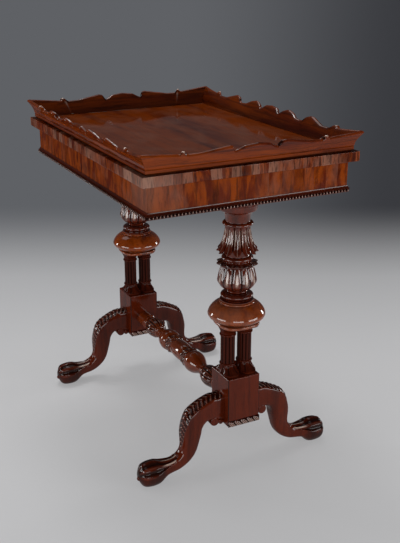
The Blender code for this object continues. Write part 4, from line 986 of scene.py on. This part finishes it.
class WORKTABLE_OT_columns(bpy.types.Operator):
    """Reeded columns with leaf-cut feet, neck rings and square spreading heads"""
    bl_idname = "work_table.columns"
    bl_label = "Columns"

    def execute(self, context):
        front = self.make()
        back = copy_of(front, "column_right_back_reeded", TURN_AT_SUPPORT)
        for obj in (front, back):
            fit_both(obj, rosewood("reeded"), "rosewood_carved")
        return {"FINISHED"}

    def make(self):
        top = CAP_LOW.z - GLUE_GAP - BLOCK_HIGH.z
        ring_low = top - COLUMN_HEAD_HEIGHT
        head_low = ring_low + COLUMN_RING_HEIGHT
        r = COLUMN_RADIUS
        base = COLUMN_BASE_HEIGHT
        shaft = [(r, ring_low - d) for d in (0.0, 0.0006, 0.0012, 0.002, 0.003)]
        shaft += straight((r, ring_low - 0.006), (r, base + 0.010), 8)
        shaft += [(r, base + d) for d in (0.007, 0.0062, 0.0056, 0.005)]
        zones = [
            ("lid", [(0.0, top)]),
            ("head", straight((r, top), (r, head_low), 12)),
            ("ring", swell(r, COLUMN_RING_RADIUS, head_low, ring_low, 5)),
            ("shaft", shaft),
            ("foot ring", swell(r - 0.0006, COLUMN_RING_RADIUS, base + 0.0048, base, 4)),
            ("bell", straight((r, base), (r, 0.004), 14)),
            ("foot", [(r, 0.003), (r - 0.0008, GLUE_GAP)]),
            ("sole", [(0.0, GLUE_GAP)]),
        ]
        return carve_turned("column_right_front_reeded", zones, 8 * sizes().reed_count,
                            (SUPPORT_X, -COLUMN_Y, BLOCK_HIGH.z),
                            {"head": self.head, "shaft": self.reed, "bell": self.bell, "foot": self.foot})

    def head(self, angle, share):
        spread = (1 - share) ** 1.8
        inner = np.sin(angle) > 0
        side = np.where(inner, COLUMN_Y - COLUMN_HEAD_MARGIN, COLUMN_HEAD_REACH - COLUMN_Y)
        half_x = COLUMN_RADIUS + (COLUMN_HEAD_REACH - COLUMN_RADIUS) * spread
        half_y = COLUMN_RADIUS + (side - COLUMN_RADIUS) * spread
        out = squared(angle, half_x, half_y, 2 + 0.4 * (1 - share)) - COLUMN_RADIUS
        vein = np.abs(across(angle, HEAD_VEINS))
        cut = -VEIN_DEPTH * step(0.5, 1.0, vein) * step(0.0, 0.2, share) * (1 - step(0.8, 1.0, share))
        # The veins are painted darker as shade.
        return out + cut, 0 * share, 0.3 * step(0.5, 1.0, vein)

    def reed(self, angle, share):
        reed = np.abs(across(angle, sizes().reed_count))
        ends = step(0.0, 0.05, share) * (1 - step(0.95, 1.0, share))
        cut = -sizes().reed_depth * (1 - np.sqrt(np.clip(1 - reed ** 2.2, 0, 1)))
        # The shaft is painted darker all over as the shade under the cap, and darker still in the cuts
        # between reeds.
        return cut * ends, 0 * share, (0.6 * step(0.55, 0.92, reed) + 0.4) * ends

    def spread(self, angle, share):
        """How far the squared foot spreads from the round shaft."""
        half_x = COLUMN_RADIUS + (COLUMN_FOOT_REACH - COLUMN_RADIUS) * share ** 1.6
        half_y = COLUMN_RADIUS + (COLUMN_FOOT_WIDTH - COLUMN_RADIUS) * share ** 1.6
        return squared(angle, half_x, half_y, 2 + 0.6 * share) - COLUMN_RADIUS

    def bell(self, angle, share):
        leaf = across(angle, BELL_LEAVES)
        side = np.abs(leaf)
        cut = -BELL_CUT * step(0.55, 1.0, side) * step(0.0, 0.25, share) + BELL_RIB * ridge(leaf, 0, 0.14)
        cut -= BELL_HOLLOW * ridge(side, 0.42, 0.16) * step(0.1, 0.4, share)
        fade = 1 - step(0.92, 1.0, share)
        # The cuts and hollows of the leaves are painted dark as shade.
        recess = (0.8 * step(0.6, 0.95, side) + 0.45 * ridge(side, 0.42, 0.18)) * fade
        return self.spread(angle, share) + cut * fade, 0 * share, recess

    def foot(self, angle, share):
        return self.spread(angle, 1.0), 0 * share, 0 * share


BLOCK_ROUNDING, DARK_CORNER_WIDTH = 0.0022, 0.0020
STRIP_PROJECTION, STRIP_HEIGHT, STRIP_GROUND = 0.0045, 0.014, 0.0008
STRIP_RIB, STRIP_HOLLOW, STRIP_LEAST = 0.0005, 0.0007, 0.0006


class WORKTABLE_OT_blocks(bpy.types.Operator):
    """Base blocks and the carved leaf strips along their feet"""
    bl_idname = "work_table.blocks"
    bl_label = "Base blocks"

    def execute(self, context):
        block = box("base_block_right_polished", BLOCK_LOW, BLOCK_HIGH)
        round_edges(block, BLOCK_ROUNDING, 3)
        reshape(block, self.corners)
        fit_both(block, rosewood("base"), "rosewood_solid", flat=True)
        outer = self.strip()
        inner = copy_of(outer, "leaf_strip_right_inner_carved", TURN_AT_SUPPORT)
        left_inner = copy_of(outer, "leaf_strip_left_inner_carved", TO_LEFT)
        left_outer = copy_of(inner, "leaf_strip_left_outer_carved", TO_LEFT)
        for piece in (outer, inner, left_inner, left_outer):
            fit(piece, rosewood("carved", "Y"), "rosewood_carved")
        return {"FINISHED"}

    def corners(self, x, y, z):
        """The upright corners are painted dark."""
        inner = BLOCK_FACE - DARK_CORNER_WIDTH
        return x, y, z, 1.0 * ((np.abs(x - SUPPORT_X) > inner) & (np.abs(y) > inner))

    def strip(self):
        """A strip of overlapping leaves, cut on the face of a thin slip of wood."""
        front, back = 22, 3
        height = STRIP_HEIGHT

        def rule(x, row):
            up = np.clip(row / front, 0, 1)
            behind = row > front
            leaf = across((x + 0.3 * (up - 0.5)) * math.pi, sizes().strip_leaves)
            side = np.abs(leaf)
            tip = 1.0 - 0.30 * side ** 1.6
            body = np.sqrt(np.clip(1 - (up / tip) ** 4, 0, 1)) * (1 - step(0.68, 0.94, side))
            body *= step(-0.1, 0.15, up)
            cut = STRIP_RIB * ridge(leaf, 0, 0.12) - STRIP_HOLLOW * ridge(side, 0.34, 0.14)
            n = STRIP_GROUND + (STRIP_PROJECTION - STRIP_GROUND - STRIP_LEAST + cut) * body
            n = np.where(behind, GLUE_GAP, np.maximum(n, STRIP_LEAST))
            z = np.where(behind, height * (1 - (row - front) / back), height * up)
            # The leaves' crests are painted pale as highlights, and the ground between them dark as shade.
            crest = 0.42 * step(0.45, 0.9, body) * (1 - ridge(side, 0.30, 0.11))
            recess = np.where(behind, 0, 1 - step(0.0, 0.45, body) - crest)
            return (SUPPORT_X + BLOCK_FACE + n, x * BLOCK_FACE, BLOCK_LOW.z + z, recess)
        return wrap("leaf_strip_right_outer_carved", 32 * sizes().strip_leaves, front + back, rule)


# Leg sections, repeated from the solids: depths, widths and the foot
LEG_ROOT_DEPTH, LEG_KNEE_DEPTH, LEG_SHANK_DEPTH, LEG_ANKLE_DEPTH = 0.069, 0.059, 0.035, 0.030
LEG_ROOT_WIDTH, LEG_KNEE_WIDTH, LEG_ANKLE_WIDTH = 0.040, 0.042, 0.033
LEG_LOBE_DROP, LEG_LOBE_REACH = 0.0045, 0.024
FOOT_HEIGHT, FOOT_WIDTH, FOOT_LENGTH, FOOT_FLAT = 0.0565, 0.051, 0.055, 0.0012
# How far the underside is cut up from the solid's at each station, from the root to the toe. The shank
# and ankle are a little fuller than the solid's
LEG_HOLLOW = (0.008, 0.0134, 0.0092, 0.010, 0.006, 0, -0.003, -0.004, -0.002, 0.008, 0.002, 0, 0, 0)
LEG_SIDES, LEG_STEPS = 96, 14
# Rolls under the root of a leg: distance out from the block, height from its foot, radius
LEG_SCROLLS = [(0.0215, 0.0100, 0.0105), (0.0065, 0.0064, 0.0062)]
SCROLL_ROUNDING = 0.0018
# Nub at the tip of a toe: radius, distance back from the toe, height
NUB_RADIUS, NUB_BACK, NUB_HEIGHT = 0.0052, 0.0015, 0.021
# Edges of the carving, as (station, place across the knee) and (station, place up the foot)
KNEE_EDGE = [(0, 0.6), (0.3, 0.86), (1, 0.90), (4.4, 0.88), (5.4, 0.62), (6.3, 0.0)]
FOOT_EDGE = [(7.2, 1.02), (8, 0.70), (9, 0.40), (10, 0.15), (11, 0.0), (12, -0.1), (13, -0.2)]
FOOT_FLUTES, FLUTE_DEPTH, FOOT_RIM = 10, 0.0032, 0.0009
KNEE_GROUND, KNEE_RIB = 0.0007, 0.0012


class WORKTABLE_OT_legs(bpy.types.Operator):
    """Cabriole legs: flat polished sides, leaf-carved knees and fluted ball feet"""
    bl_idname = "work_table.legs"
    bl_label = "Legs"

    def execute(self, context):
        front = self.make()
        back = copy_of(front, "leg_right_back_carved", TURN_AT_SUPPORT)
        for obj in (front, back):
            fit_both(obj, rosewood("base"), "rosewood_carved", angle=50)
        return {"FINISHED"}

    def stations(self):
        """Sections down the leg: place across and up, lean, depth, width and squareness."""
        root_middle = BLOCK_LOW.z + LEG_ROOT_DEPTH / 2
        shoulder = BLOCK_FACE + GLUE_GAP
        run, rise = LEG_REACH - BLOCK_FACE, root_middle
        toe = FOOT_LENGTH / 2 / run
        foot_y, foot_z = 1 - toe, (FOOT_HEIGHT / 2 - FOOT_FLAT) / rise
        instep = LEG_ANKLE_DEPTH * 0.6 + FOOT_HEIGHT * 0.4
        rows = [
            (0.0, 1.0, 0, LEG_ROOT_DEPTH, LEG_ROOT_WIDTH, 5),
            (LEG_LOBE_REACH / 2 / run, 1 - LEG_LOBE_DROP / 2 / rise, 2, LEG_ROOT_DEPTH + LEG_LOBE_DROP / 2,
             LEG_ROOT_WIDTH, 4.6),
            (LEG_LOBE_REACH / run, 1 + LEG_LOBE_DROP / 4 / rise, 6, LEG_ROOT_DEPTH - LEG_LOBE_DROP,
             LEG_ROOT_WIDTH, 4.2),
            (0.23, 0.965, 22, LEG_KNEE_DEPTH, LEG_KNEE_WIDTH, 3.6),
            (0.325, 0.87, 42, LEG_KNEE_DEPTH, LEG_KNEE_WIDTH, 3.4),
            (0.375, 0.68, 64, (LEG_KNEE_DEPTH + LEG_SHANK_DEPTH) / 2, LEG_KNEE_WIDTH, 3.2),
            (0.405, 0.45, 66, LEG_SHANK_DEPTH, LEG_ANKLE_WIDTH, 3.0),
            (0.465, 0.33, 55, LEG_ANKLE_DEPTH, LEG_ANKLE_WIDTH, 2.8),
            (0.56, 0.25, 36, LEG_ANKLE_DEPTH, LEG_ANKLE_WIDTH, 2.8),
            (0.69, foot_z * 1.1, 18, instep, (LEG_ANKLE_WIDTH + FOOT_WIDTH) / 2, 3),
            (foot_y - toe * 0.5, foot_z, 5, FOOT_HEIGHT, FOOT_WIDTH, 2.3),
            (foot_y + toe * 0.2, foot_z, 0, FOOT_HEIGHT, FOOT_WIDTH, 2.2),
            (foot_y + toe * 0.7, foot_z, 0, FOOT_HEIGHT * 0.84, FOOT_WIDTH * 0.84, 2.2),
            (1.0, foot_z, 0, FOOT_HEIGHT * 0.34, FOOT_WIDTH * 0.34, 2.2),
        ]
        rows = np.array([(shoulder + y * (LEG_REACH - shoulder), z * rise, math.radians(lean), *section)
                         for y, z, lean, *section in rows])
        hollow = np.array(LEG_HOLLOW)
        rows[:, 0] += hollow / 2 * np.sin(rows[:, 2])
        rows[:, 1] += hollow / 2 * np.cos(rows[:, 2])
        rows[:, 3] -= hollow
        return rows

    def smooth(self, rows, steps):
        """Catmull-Rom rows between the given ones."""
        padded = np.concatenate([rows[:1], rows, rows[-1:]])
        t = (np.arange(steps) / steps)[:, None]
        parts = []
        for p, q, r, s in zip(padded, padded[1:], padded[2:], padded[3:]):
            bend = (2 * p - 5 * q + 4 * r - s) * t ** 2 + (3 * q - p - 3 * r + s) * t ** 3
            parts.append(q + ((r - p) * t + bend) / 2)
        return np.concatenate(parts + [rows[-1:]])

    def make(self):
        rows = self.smooth(self.stations(), LEG_STEPS)
        top_y = rows[:, 0] + rows[:, 3] / 2 * np.sin(rows[:, 2])
        top_z = rows[:, 1] + rows[:, 3] / 2 * np.cos(rows[:, 2])
        run = np.concatenate([[0], np.cumsum(np.hypot(np.diff(top_y), np.diff(top_z)))])

        def rule(x, row):
            y, z, lean, depth, width, power = rows[row].T
            angle = math.pi * (x + 1) - math.pi / 2
            c, s = np.cos(angle), np.sin(angle)
            side = np.sign(c) * np.abs(c) ** (2 / power)
            up = np.sign(s) * np.abs(s) ** (2 / power)
            out, recess = self.carving(row / LEG_STEPS, side, up, run[row])
            slope = np.stack([side * np.abs(side) ** (power - 2) / width,
                              up * np.abs(up) ** (power - 2) / depth])
            slope /= np.maximum(np.hypot(*slope), 1e-9)
            wide = side * width / 2 + out * slope[0]
            tall = up * depth / 2 + out * slope[1]
            high = np.maximum(z + tall * np.cos(lean), 0.0)
            return SUPPORT_X + wide, -(y + tall * np.sin(lean)), high, recess
        leg = wrap("leg_right_front_carved", LEG_SIDES, len(rows) - 1, rule)
        nub = ball("toe_nub", NUB_RADIUS, (SUPPORT_X, NUB_BACK - LEG_REACH, NUB_HEIGHT), *FINE_BALL)
        scrolls = [self.scroll(*entry) for entry in LEG_SCROLLS]
        return join([leg, nub, *scrolls])

    def scroll(self, out, up, radius):
        """A small carved roll across the underside of the root."""
        bpy.ops.mesh.primitive_cylinder_add(
            vertices=24, radius=radius, depth=LEG_ROOT_WIDTH - 0.002, rotation=(0, math.pi / 2, 0),
            location=(SUPPORT_X, -BLOCK_FACE - out, BLOCK_LOW.z + up))
        roll = settled("leg_scroll")
        round_edges(roll, SCROLL_ROUNDING, 3)
        return roll

    def carving(self, station, side, up, run):
        """Height of the carving and how dark or pale it is painted, by station down the leg and place round
        it.
        """
        limit = np.interp(station, *zip(*KNEE_EDGE))
        inside = step(0.45, 0.75, up) * step(0.0, 0.10, limit - np.abs(side))
        vein = (1 + np.cos(2 * math.pi * (run / sizes().knee_leaf - 0.9 * np.abs(side)))) / 2
        cut = KNEE_RIB * ridge(side, 0, 0.10) - KNEE_GROUND - sizes().knee_depth * (1 - vein) ** 0.8
        # The knee's ground is painted dark as shade and its leaflets pale as highlights.
        knee_recess = inside * (0.85 - 1.3 * step(0.6, 1.0, vein) - 0.3 * ridge(side, 0, 0.10))
        low = np.interp(station, *zip(*FOOT_EDGE))
        past_ankle = station > FOOT_EDGE[0][0]
        on_foot = step(-0.03, 0.05, up - low) * past_ankle
        flute = np.abs(across(np.arctan2(side, up + 0.25), FOOT_FLUTES))
        fade = 1 - step(12.0, 13.0, station)
        foot_cut = -FLUTE_DEPTH * step(0.3, 1.0, flute) * fade
        foot_rim = FOOT_RIM * ridge(up, low, 0.09) * past_ankle * (station < 11)
        out = inside * cut + on_foot * foot_cut + foot_rim
        # The foot's flutes are painted pale on their crests as highlights and dark in their cuts as shade,
        # and the ball is painted darker.
        crest = 0.7 * on_foot * (1 - step(0.1, 0.4, flute)) * fade - 0.55 * step(8.6, 9.6, station)
        return out, np.clip(knee_recess + on_foot * 0.9 * step(0.45, 0.95, flute) - crest, -1, 1)


# Stretcher: radii, and where its parts end as shares of its half length
STRETCHER_BULB, STRETCHER_NOTCH, STRETCHER_RING, STRETCHER_VASE = 0.0225, 0.0175, 0.0245, 0.0265
STRETCHER_NECK, STRETCHER_COLLAR, STRETCHER_CUSHION, STRETCHER_END = 0.0125, 0.016, 0.0245, 0.019
BULB_END, RING_END, VASE_END, CUSHION_END, VASE_BELLY = 0.14, 0.225, 0.533, 0.80, 0.26
COLLAR_LENGTH, END_RING_LENGTH = 0.007, 0.012
STRETCHER_LEAVES, STRETCHER_SIDES = 10, 96
LAP_CUT, LAP_RIB, LAP_HOLLOW = 0.0026, 0.0009, 0.001
LOBE_CUT, LOBE_GROOVE = 0.0036, 0.0008


class WORKTABLE_OT_stretcher(bpy.types.Operator):
    """Stretcher: smooth bulb and vases between carved rings and cushions"""
    bl_idname = "work_table.stretcher"
    bl_label = "Stretcher"

    def execute(self, context):
        half = SUPPORT_X - BLOCK_FACE - GLUE_GAP
        bulb, ring, vase, cushion = (half * share for share in (BULB_END, RING_END, VASE_END, CUSHION_END))
        belly = ring + (vase - ring) * VASE_BELLY
        collar = vase + COLLAR_LENGTH
        end_ring = cushion + END_RING_LENGTH
        neck, notch = STRETCHER_NECK, STRETCHER_NOTCH
        side = [
            ("bulb", quarter((STRETCHER_BULB, 0.0), (notch + 0.0004, bulb - 0.001), 14, False)),
            ("ring", swell(notch, STRETCHER_RING, bulb, ring, 8)),
            ("vase", quarter((notch + 0.0004, ring + 0.0006), (STRETCHER_VASE, belly), 12, True)
             + ogee((STRETCHER_VASE, belly), (neck, vase), 18)[1:]),
            ("collar", swell(neck, STRETCHER_COLLAR, vase, collar, 5)),
            ("cushion", swell(neck, STRETCHER_CUSHION, collar, cushion, 12)),
            ("end", swell(neck, STRETCHER_END, cushion, end_ring, 5)),
            ("tail", [(STRETCHER_END - 0.002, end_ring + 0.001), (STRETCHER_END, end_ring + 0.003),
                      (STRETCHER_END, half), (0.0, half)]),
        ]
        other = [(label, [(r, -x) for r, x in reversed(points)]) for label, points in reversed(side)]
        obj = carve_turned("stretcher_carved", other + side, STRETCHER_SIDES, (0, 0, STRETCHER_HEIGHT),
                           {"ring": self.ring, "cushion": self.cushion}, along_x=True)
        fit(obj, rosewood("stretcher", "X"), "rosewood_carved")
        return {"FINISHED"}

    def ring(self, angle, share):
        """Leaves lapped round the ring."""
        leaf = across(angle + 0.9 * share, STRETCHER_LEAVES)
        side = np.abs(leaf)
        fade = np.sin(math.pi * share) ** 0.5
        cut = LAP_RIB * ridge(leaf, 0, 0.16) - LAP_HOLLOW * ridge(side, 0.42, 0.16)
        cut -= LAP_CUT * step(0.55, 1.0, side)
        # The ring is painted dark as shade, darkest in its cuts, with the leaf edges painted pale as
        # highlights.
        wear_and_sheen = 0.9 * ridge(side, 0.62, 0.10)
        return cut * fade, 0 * share, (0.75 + 0.25 * step(0.5, 0.95, side) - 1.7 * wear_and_sheen) * fade

    def cushion(self, angle, share):
        """Lobes that swell between deep cuts."""
        lobe = np.abs(across(angle, STRETCHER_LEAVES))
        fade = np.sin(math.pi * share) ** 0.5
        cut = -LOBE_CUT * (1 - np.sqrt(np.clip(1 - lobe ** 2.4, 0, 1)))
        cut -= LOBE_GROOVE * ridge(lobe, 0.0, 0.14)
        # The cushion is painted dark as shade, darkest in its cuts, with pale painted highlights on the
        # lobes.
        wear_and_sheen = ridge(lobe, 0.5, 0.10) * ridge(share, 0.5, 0.3)
        return cut * fade, 0 * share, (0.7 + 0.3 * step(0.6, 0.95, lobe) - 1.2 * wear_and_sheen) * fade


KNOB_RADIUS, KNOB_NECK, KNOB_FOOT, KNOB_DOME, KNOB_SIDES = 0.011, 0.006, 0.0085, 0.0083, 40


class WORKTABLE_OT_drawer(bpy.types.Operator):
    """Drawer front and its turned knobs"""
    bl_idname = "work_table.drawer"
    bl_label = "Drawer"

    def execute(self, context):
        low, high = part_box("drawer_front")
        front = box("drawer_front_veneered", low, high)
        round_edges(front, sizes().edge, 3)
        fit(front, rosewood("crossband"), "rosewood_veneer", body="drawer", flat=True)
        knob_low, knob_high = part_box("drawer_knob_right")
        face = high.y + GLUE_GAP
        reach = knob_high.y - face
        widest = (KNOB_RADIUS, reach - KNOB_DOME)
        profile = quarter((0.0, reach), widest, 10, True)
        profile += quarter(widest, (KNOB_NECK, 0.0032), 10, False)[1:]
        profile += [(KNOB_FOOT - 0.0006, 0.0026), (KNOB_FOOT, 0.002), (KNOB_FOOT, 0.0), (0.0, 0.0)]
        middle = (knob_low + knob_high) / 2
        knob = turn("drawer_knob_right_turned", profile, KNOB_SIDES, (middle.x, face, middle.z), (0, 1, 0))
        fit_both(knob, rosewood("solid", "Y"), "rosewood_solid", body="drawer",
                 matrix=Matrix.Translation((-2 * middle.x, 0, 0)))
        return {"FINISHED"}


# Solids that keep their own shape, by the direction of their grain
LININGS = {"X": ("drawer_back", "drawer_bottom", "drawer_stop_right", "drawer_stop_left"),
           "Y": ("cross_bearer_right", "cross_bearer_left", "drawer_runner_right", "drawer_runner_left",
                 "drawer_kicker_right", "drawer_kicker_left", "drawer_side_right", "drawer_side_left")}


class WORKTABLE_OT_linings(bpy.types.Operator):
    """Mahogany of the bearers, slides and drawer box, and the rosewood rail under the drawer"""
    bl_idname = "work_table.linings"
    bl_label = "Linings"

    def execute(self, context):
        for grain, nodes in LININGS.items():
            for node in nodes:
                self.paint(node, mahogany(grain))
        self.paint("drawer_rail", rosewood("solid", "X"))
        return {"FINISHED"}

    def paint(self, node, material):
        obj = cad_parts[node]
        obj.data.materials.clear()
        obj.data.materials.append(material)


# Camera, in the photograph's place, with its focal length for a 36 mm sensor
CAMERA_PLACE = (1.7649, -0.8590, 1.0987)
CAMERA_AZIMUTH, CAMERA_PITCH = math.radians(62.74), math.radians(20.38)
CAMERA_LENS, CAMERA_SENSOR, CAMERA_CLIP = 58.0, 36.0, (0.05, 100)
FLOOR_SIZE = 60.0
# Soft lamps: place, width and height, power
LAMPS = {
    "key": ((-1.0, 0.0, 3.2), (3.2, 3.2), 42.0),
    "spark": ((-1.1, 0.1, 2.9), (0.6, 0.6), 17.0),
    "front": ((2.82, -1.03, 0.62), (2.0, 0.7), 31.0),
    "front_left": ((0.26, -2.99, 0.62), (2.0, 0.7), 36.0),
    "front_right": ((2.45, 1.73, 0.62), (2.0, 0.7), 37.0),
    "right": ((-0.15, 2.7, 0.6), (0.3, 0.7), 14.0),
    "left": ((-2.1, -1.9, 0.6), (0.3, 0.7), 11.0),
}
LAMP_AIM = Vector((0, 0, 0.45))
WORLD_COLOUR, WORLD_LIGHT = "d0d2d6", 0.08
NEAR_GLOW = 0.55
# Directions along the floor away from the camera and across its view, and its distance before the table
AWAY, ASIDE, CAMERA_DISTANCE = (-0.889, 0.458, 0.0), (0.458, 0.889, 0.0), 1.96
# Where the floor passes into the backdrop, and the bearings between which the backdrop darkens towards its
# right end as painted shade
BACKDROP_START, BACKDROP_DIM = (-0.15, 1.9), (-0.03, 0.25)


class WORKTABLE_OT_stage(bpy.types.Operator):
    """Floor, soft lamps, world light and camera"""
    bl_idname = "work_table.stage"
    bl_label = "Stage"

    def execute(self, context):
        scene = context.scene
        scene.view_settings.view_transform = "Standard"
        deselect()
        bpy.ops.mesh.primitive_plane_add(size=FLOOR_SIZE)
        floor = named("studio_floor")
        floor.data.materials.append(self.floor_material())
        self.world(scene)
        for name, (place, size, power) in LAMPS.items():
            self.lamp(name, place, size, power)
        self.camera(scene)
        return {"FINISHED"}

    def floor_material(self):
        """Matt painted studio floor, running back into a dim backdrop that lights nothing."""
        material = bpy.data.materials.new("painted_studio_floor")
        tree = empty_tree(material)
        c = colours()
        place = add_node(tree, "TexCoord", {})["Object"]
        away = add_node(tree, "VectorMath", {0: place, 1: AWAY}, operation="DOT_PRODUCT")["Value"]
        aside = add_node(tree, "VectorMath", {0: place, 1: ASIDE}, operation="DOT_PRODUCT")["Value"]
        reach = add_node(tree, "Math", {0: away, 1: CAMERA_DISTANCE}, operation="ADD")[0]
        bearing = add_node(tree, "Math", {0: aside, 1: reach}, operation="DIVIDE")[0]
        dim, far = (add_node(tree, "MapRange", {"Value": value, "From Min": low, "From Max": high},
                             interpolation_type="SMOOTHSTEP")[0]
                    for value, (low, high) in ((bearing, BACKDROP_DIM), (away, BACKDROP_START)))
        ray = add_node(tree, "LightPath", {})
        seen = ray["Is Camera Ray"]
        for kind in ("Is Glossy Ray", "Is Transmission Ray"):
            seen = add_node(tree, "Math", {0: seen, 1: ray[kind]}, operation="MAXIMUM")[0]
        # Near the table the floor shows partly as it would be without the table's shadow
        share = add_node(tree, "Math", {0: far, 1: NEAR_GLOW}, operation="MAXIMUM")[0]
        share = add_node(tree, "Math", {0: share, 1: seen}, operation="MULTIPLY")[0]
        tint = add_node(tree, "Mix", {0: dim, 6: list(c.backdrop), 7: list(c.corner)}, data_type="RGBA")[2]
        tint = add_node(tree, "Mix", {0: far, 6: list(c.near), 7: tint}, data_type="RGBA")[2]
        glow = add_node(tree, "Emission", {"Color": tint, "Strength": 1.0})[0]
        paint = add_node(tree, "BsdfPrincipled", {"Base Color": list(c.floor), "Roughness": 0.75})[0]
        mixed = add_node(tree, "MixShader", {0: share, 1: paint, 2: glow})[0]
        add_node(tree, "OutputMaterial", {"Surface": mixed})
        return material

    def world(self, scene):
        scene.world = bpy.data.worlds.new("studio_room")
        tree = empty_tree(scene.world)
        light = add_node(tree, "Background", {"Color": linear(WORLD_COLOUR), "Strength": WORLD_LIGHT})[0]
        add_node(tree, "OutputWorld", {"Surface": light})

    def lamp(self, name, place, size, power):
        data = bpy.data.lights.new("softbox_" + name, "AREA")
        data.shape = "RECTANGLE"
        data.size, data.size_y = size
        data.energy = power
        obj = bpy.data.objects.new("softbox_" + name, data)
        bpy.context.scene.collection.objects.link(obj)
        obj.location = place
        obj.visible_camera = False
        obj.rotation_euler = (LAMP_AIM - obj.location).to_track_quat("-Z", "Y").to_euler()

    def camera(self, scene):
        data = bpy.data.cameras.new("camera")
        data.sensor_width = CAMERA_SENSOR
        data.lens = CAMERA_LENS
        data.clip_start, data.clip_end = CAMERA_CLIP
        obj = bpy.data.objects.new("camera", data)
        scene.collection.objects.link(obj)
        az, pitch = CAMERA_AZIMUTH, CAMERA_PITCH
        right = Vector((math.cos(az), math.sin(az), 0))
        back = Vector((math.sin(az) * math.cos(pitch), -math.cos(az) * math.cos(pitch), math.sin(pitch)))
        turn_matrix = Matrix((right, back.cross(right), back)).transposed()
        obj.matrix_world = Matrix.Translation(CAMERA_PLACE) @ turn_matrix.to_4x4()
        scene.camera = obj


class WORKTABLE_PT_panel(bpy.types.Panel):
    """Work table pieces, sizes and colours"""
    bl_idname = "WORKTABLE_PT_panel"
    bl_label = "Work table"
    bl_space_type = "VIEW_3D"
    bl_region_type = "UI"
    bl_category = "Work table"

    def draw(self, context):
        for group in (context.scene.work_table_sizes, context.scene.work_table_colours):
            for key in group.bl_rna.properties.keys():
                if key not in ("rna_type", "name"):
                    self.layout.prop(group, key)
        for operator in OPERATORS:
            self.layout.operator(operator.bl_idname)


OPERATORS = (WORKTABLE_OT_top, WORKTABLE_OT_gallery, WORKTABLE_OT_frieze, WORKTABLE_OT_beads,
             WORKTABLE_OT_balusters, WORKTABLE_OT_buns, WORKTABLE_OT_columns, WORKTABLE_OT_blocks,
             WORKTABLE_OT_legs, WORKTABLE_OT_stretcher, WORKTABLE_OT_drawer, WORKTABLE_OT_linings,
             WORKTABLE_OT_stage)
CLASSES = (WorkTableSizes, WorkTableColours, *OPERATORS, WORKTABLE_PT_panel)


def register():
    for entry in CLASSES:
        bpy.utils.register_class(entry)
    bpy.types.Scene.work_table_sizes = bpy.props.PointerProperty(type=WorkTableSizes)
    bpy.types.Scene.work_table_colours = bpy.props.PointerProperty(type=WorkTableColours)


def unregister():
    del bpy.types.Scene.work_table_colours
    del bpy.types.Scene.work_table_sizes
    for entry in reversed(CLASSES):
        bpy.utils.unregister_class(entry)


def main():
    register()
    for operator in OPERATORS:
        group, name = operator.bl_idname.split(".")
        getattr(getattr(bpy.ops, group), name)()


if __name__ == "__main__":
    main()
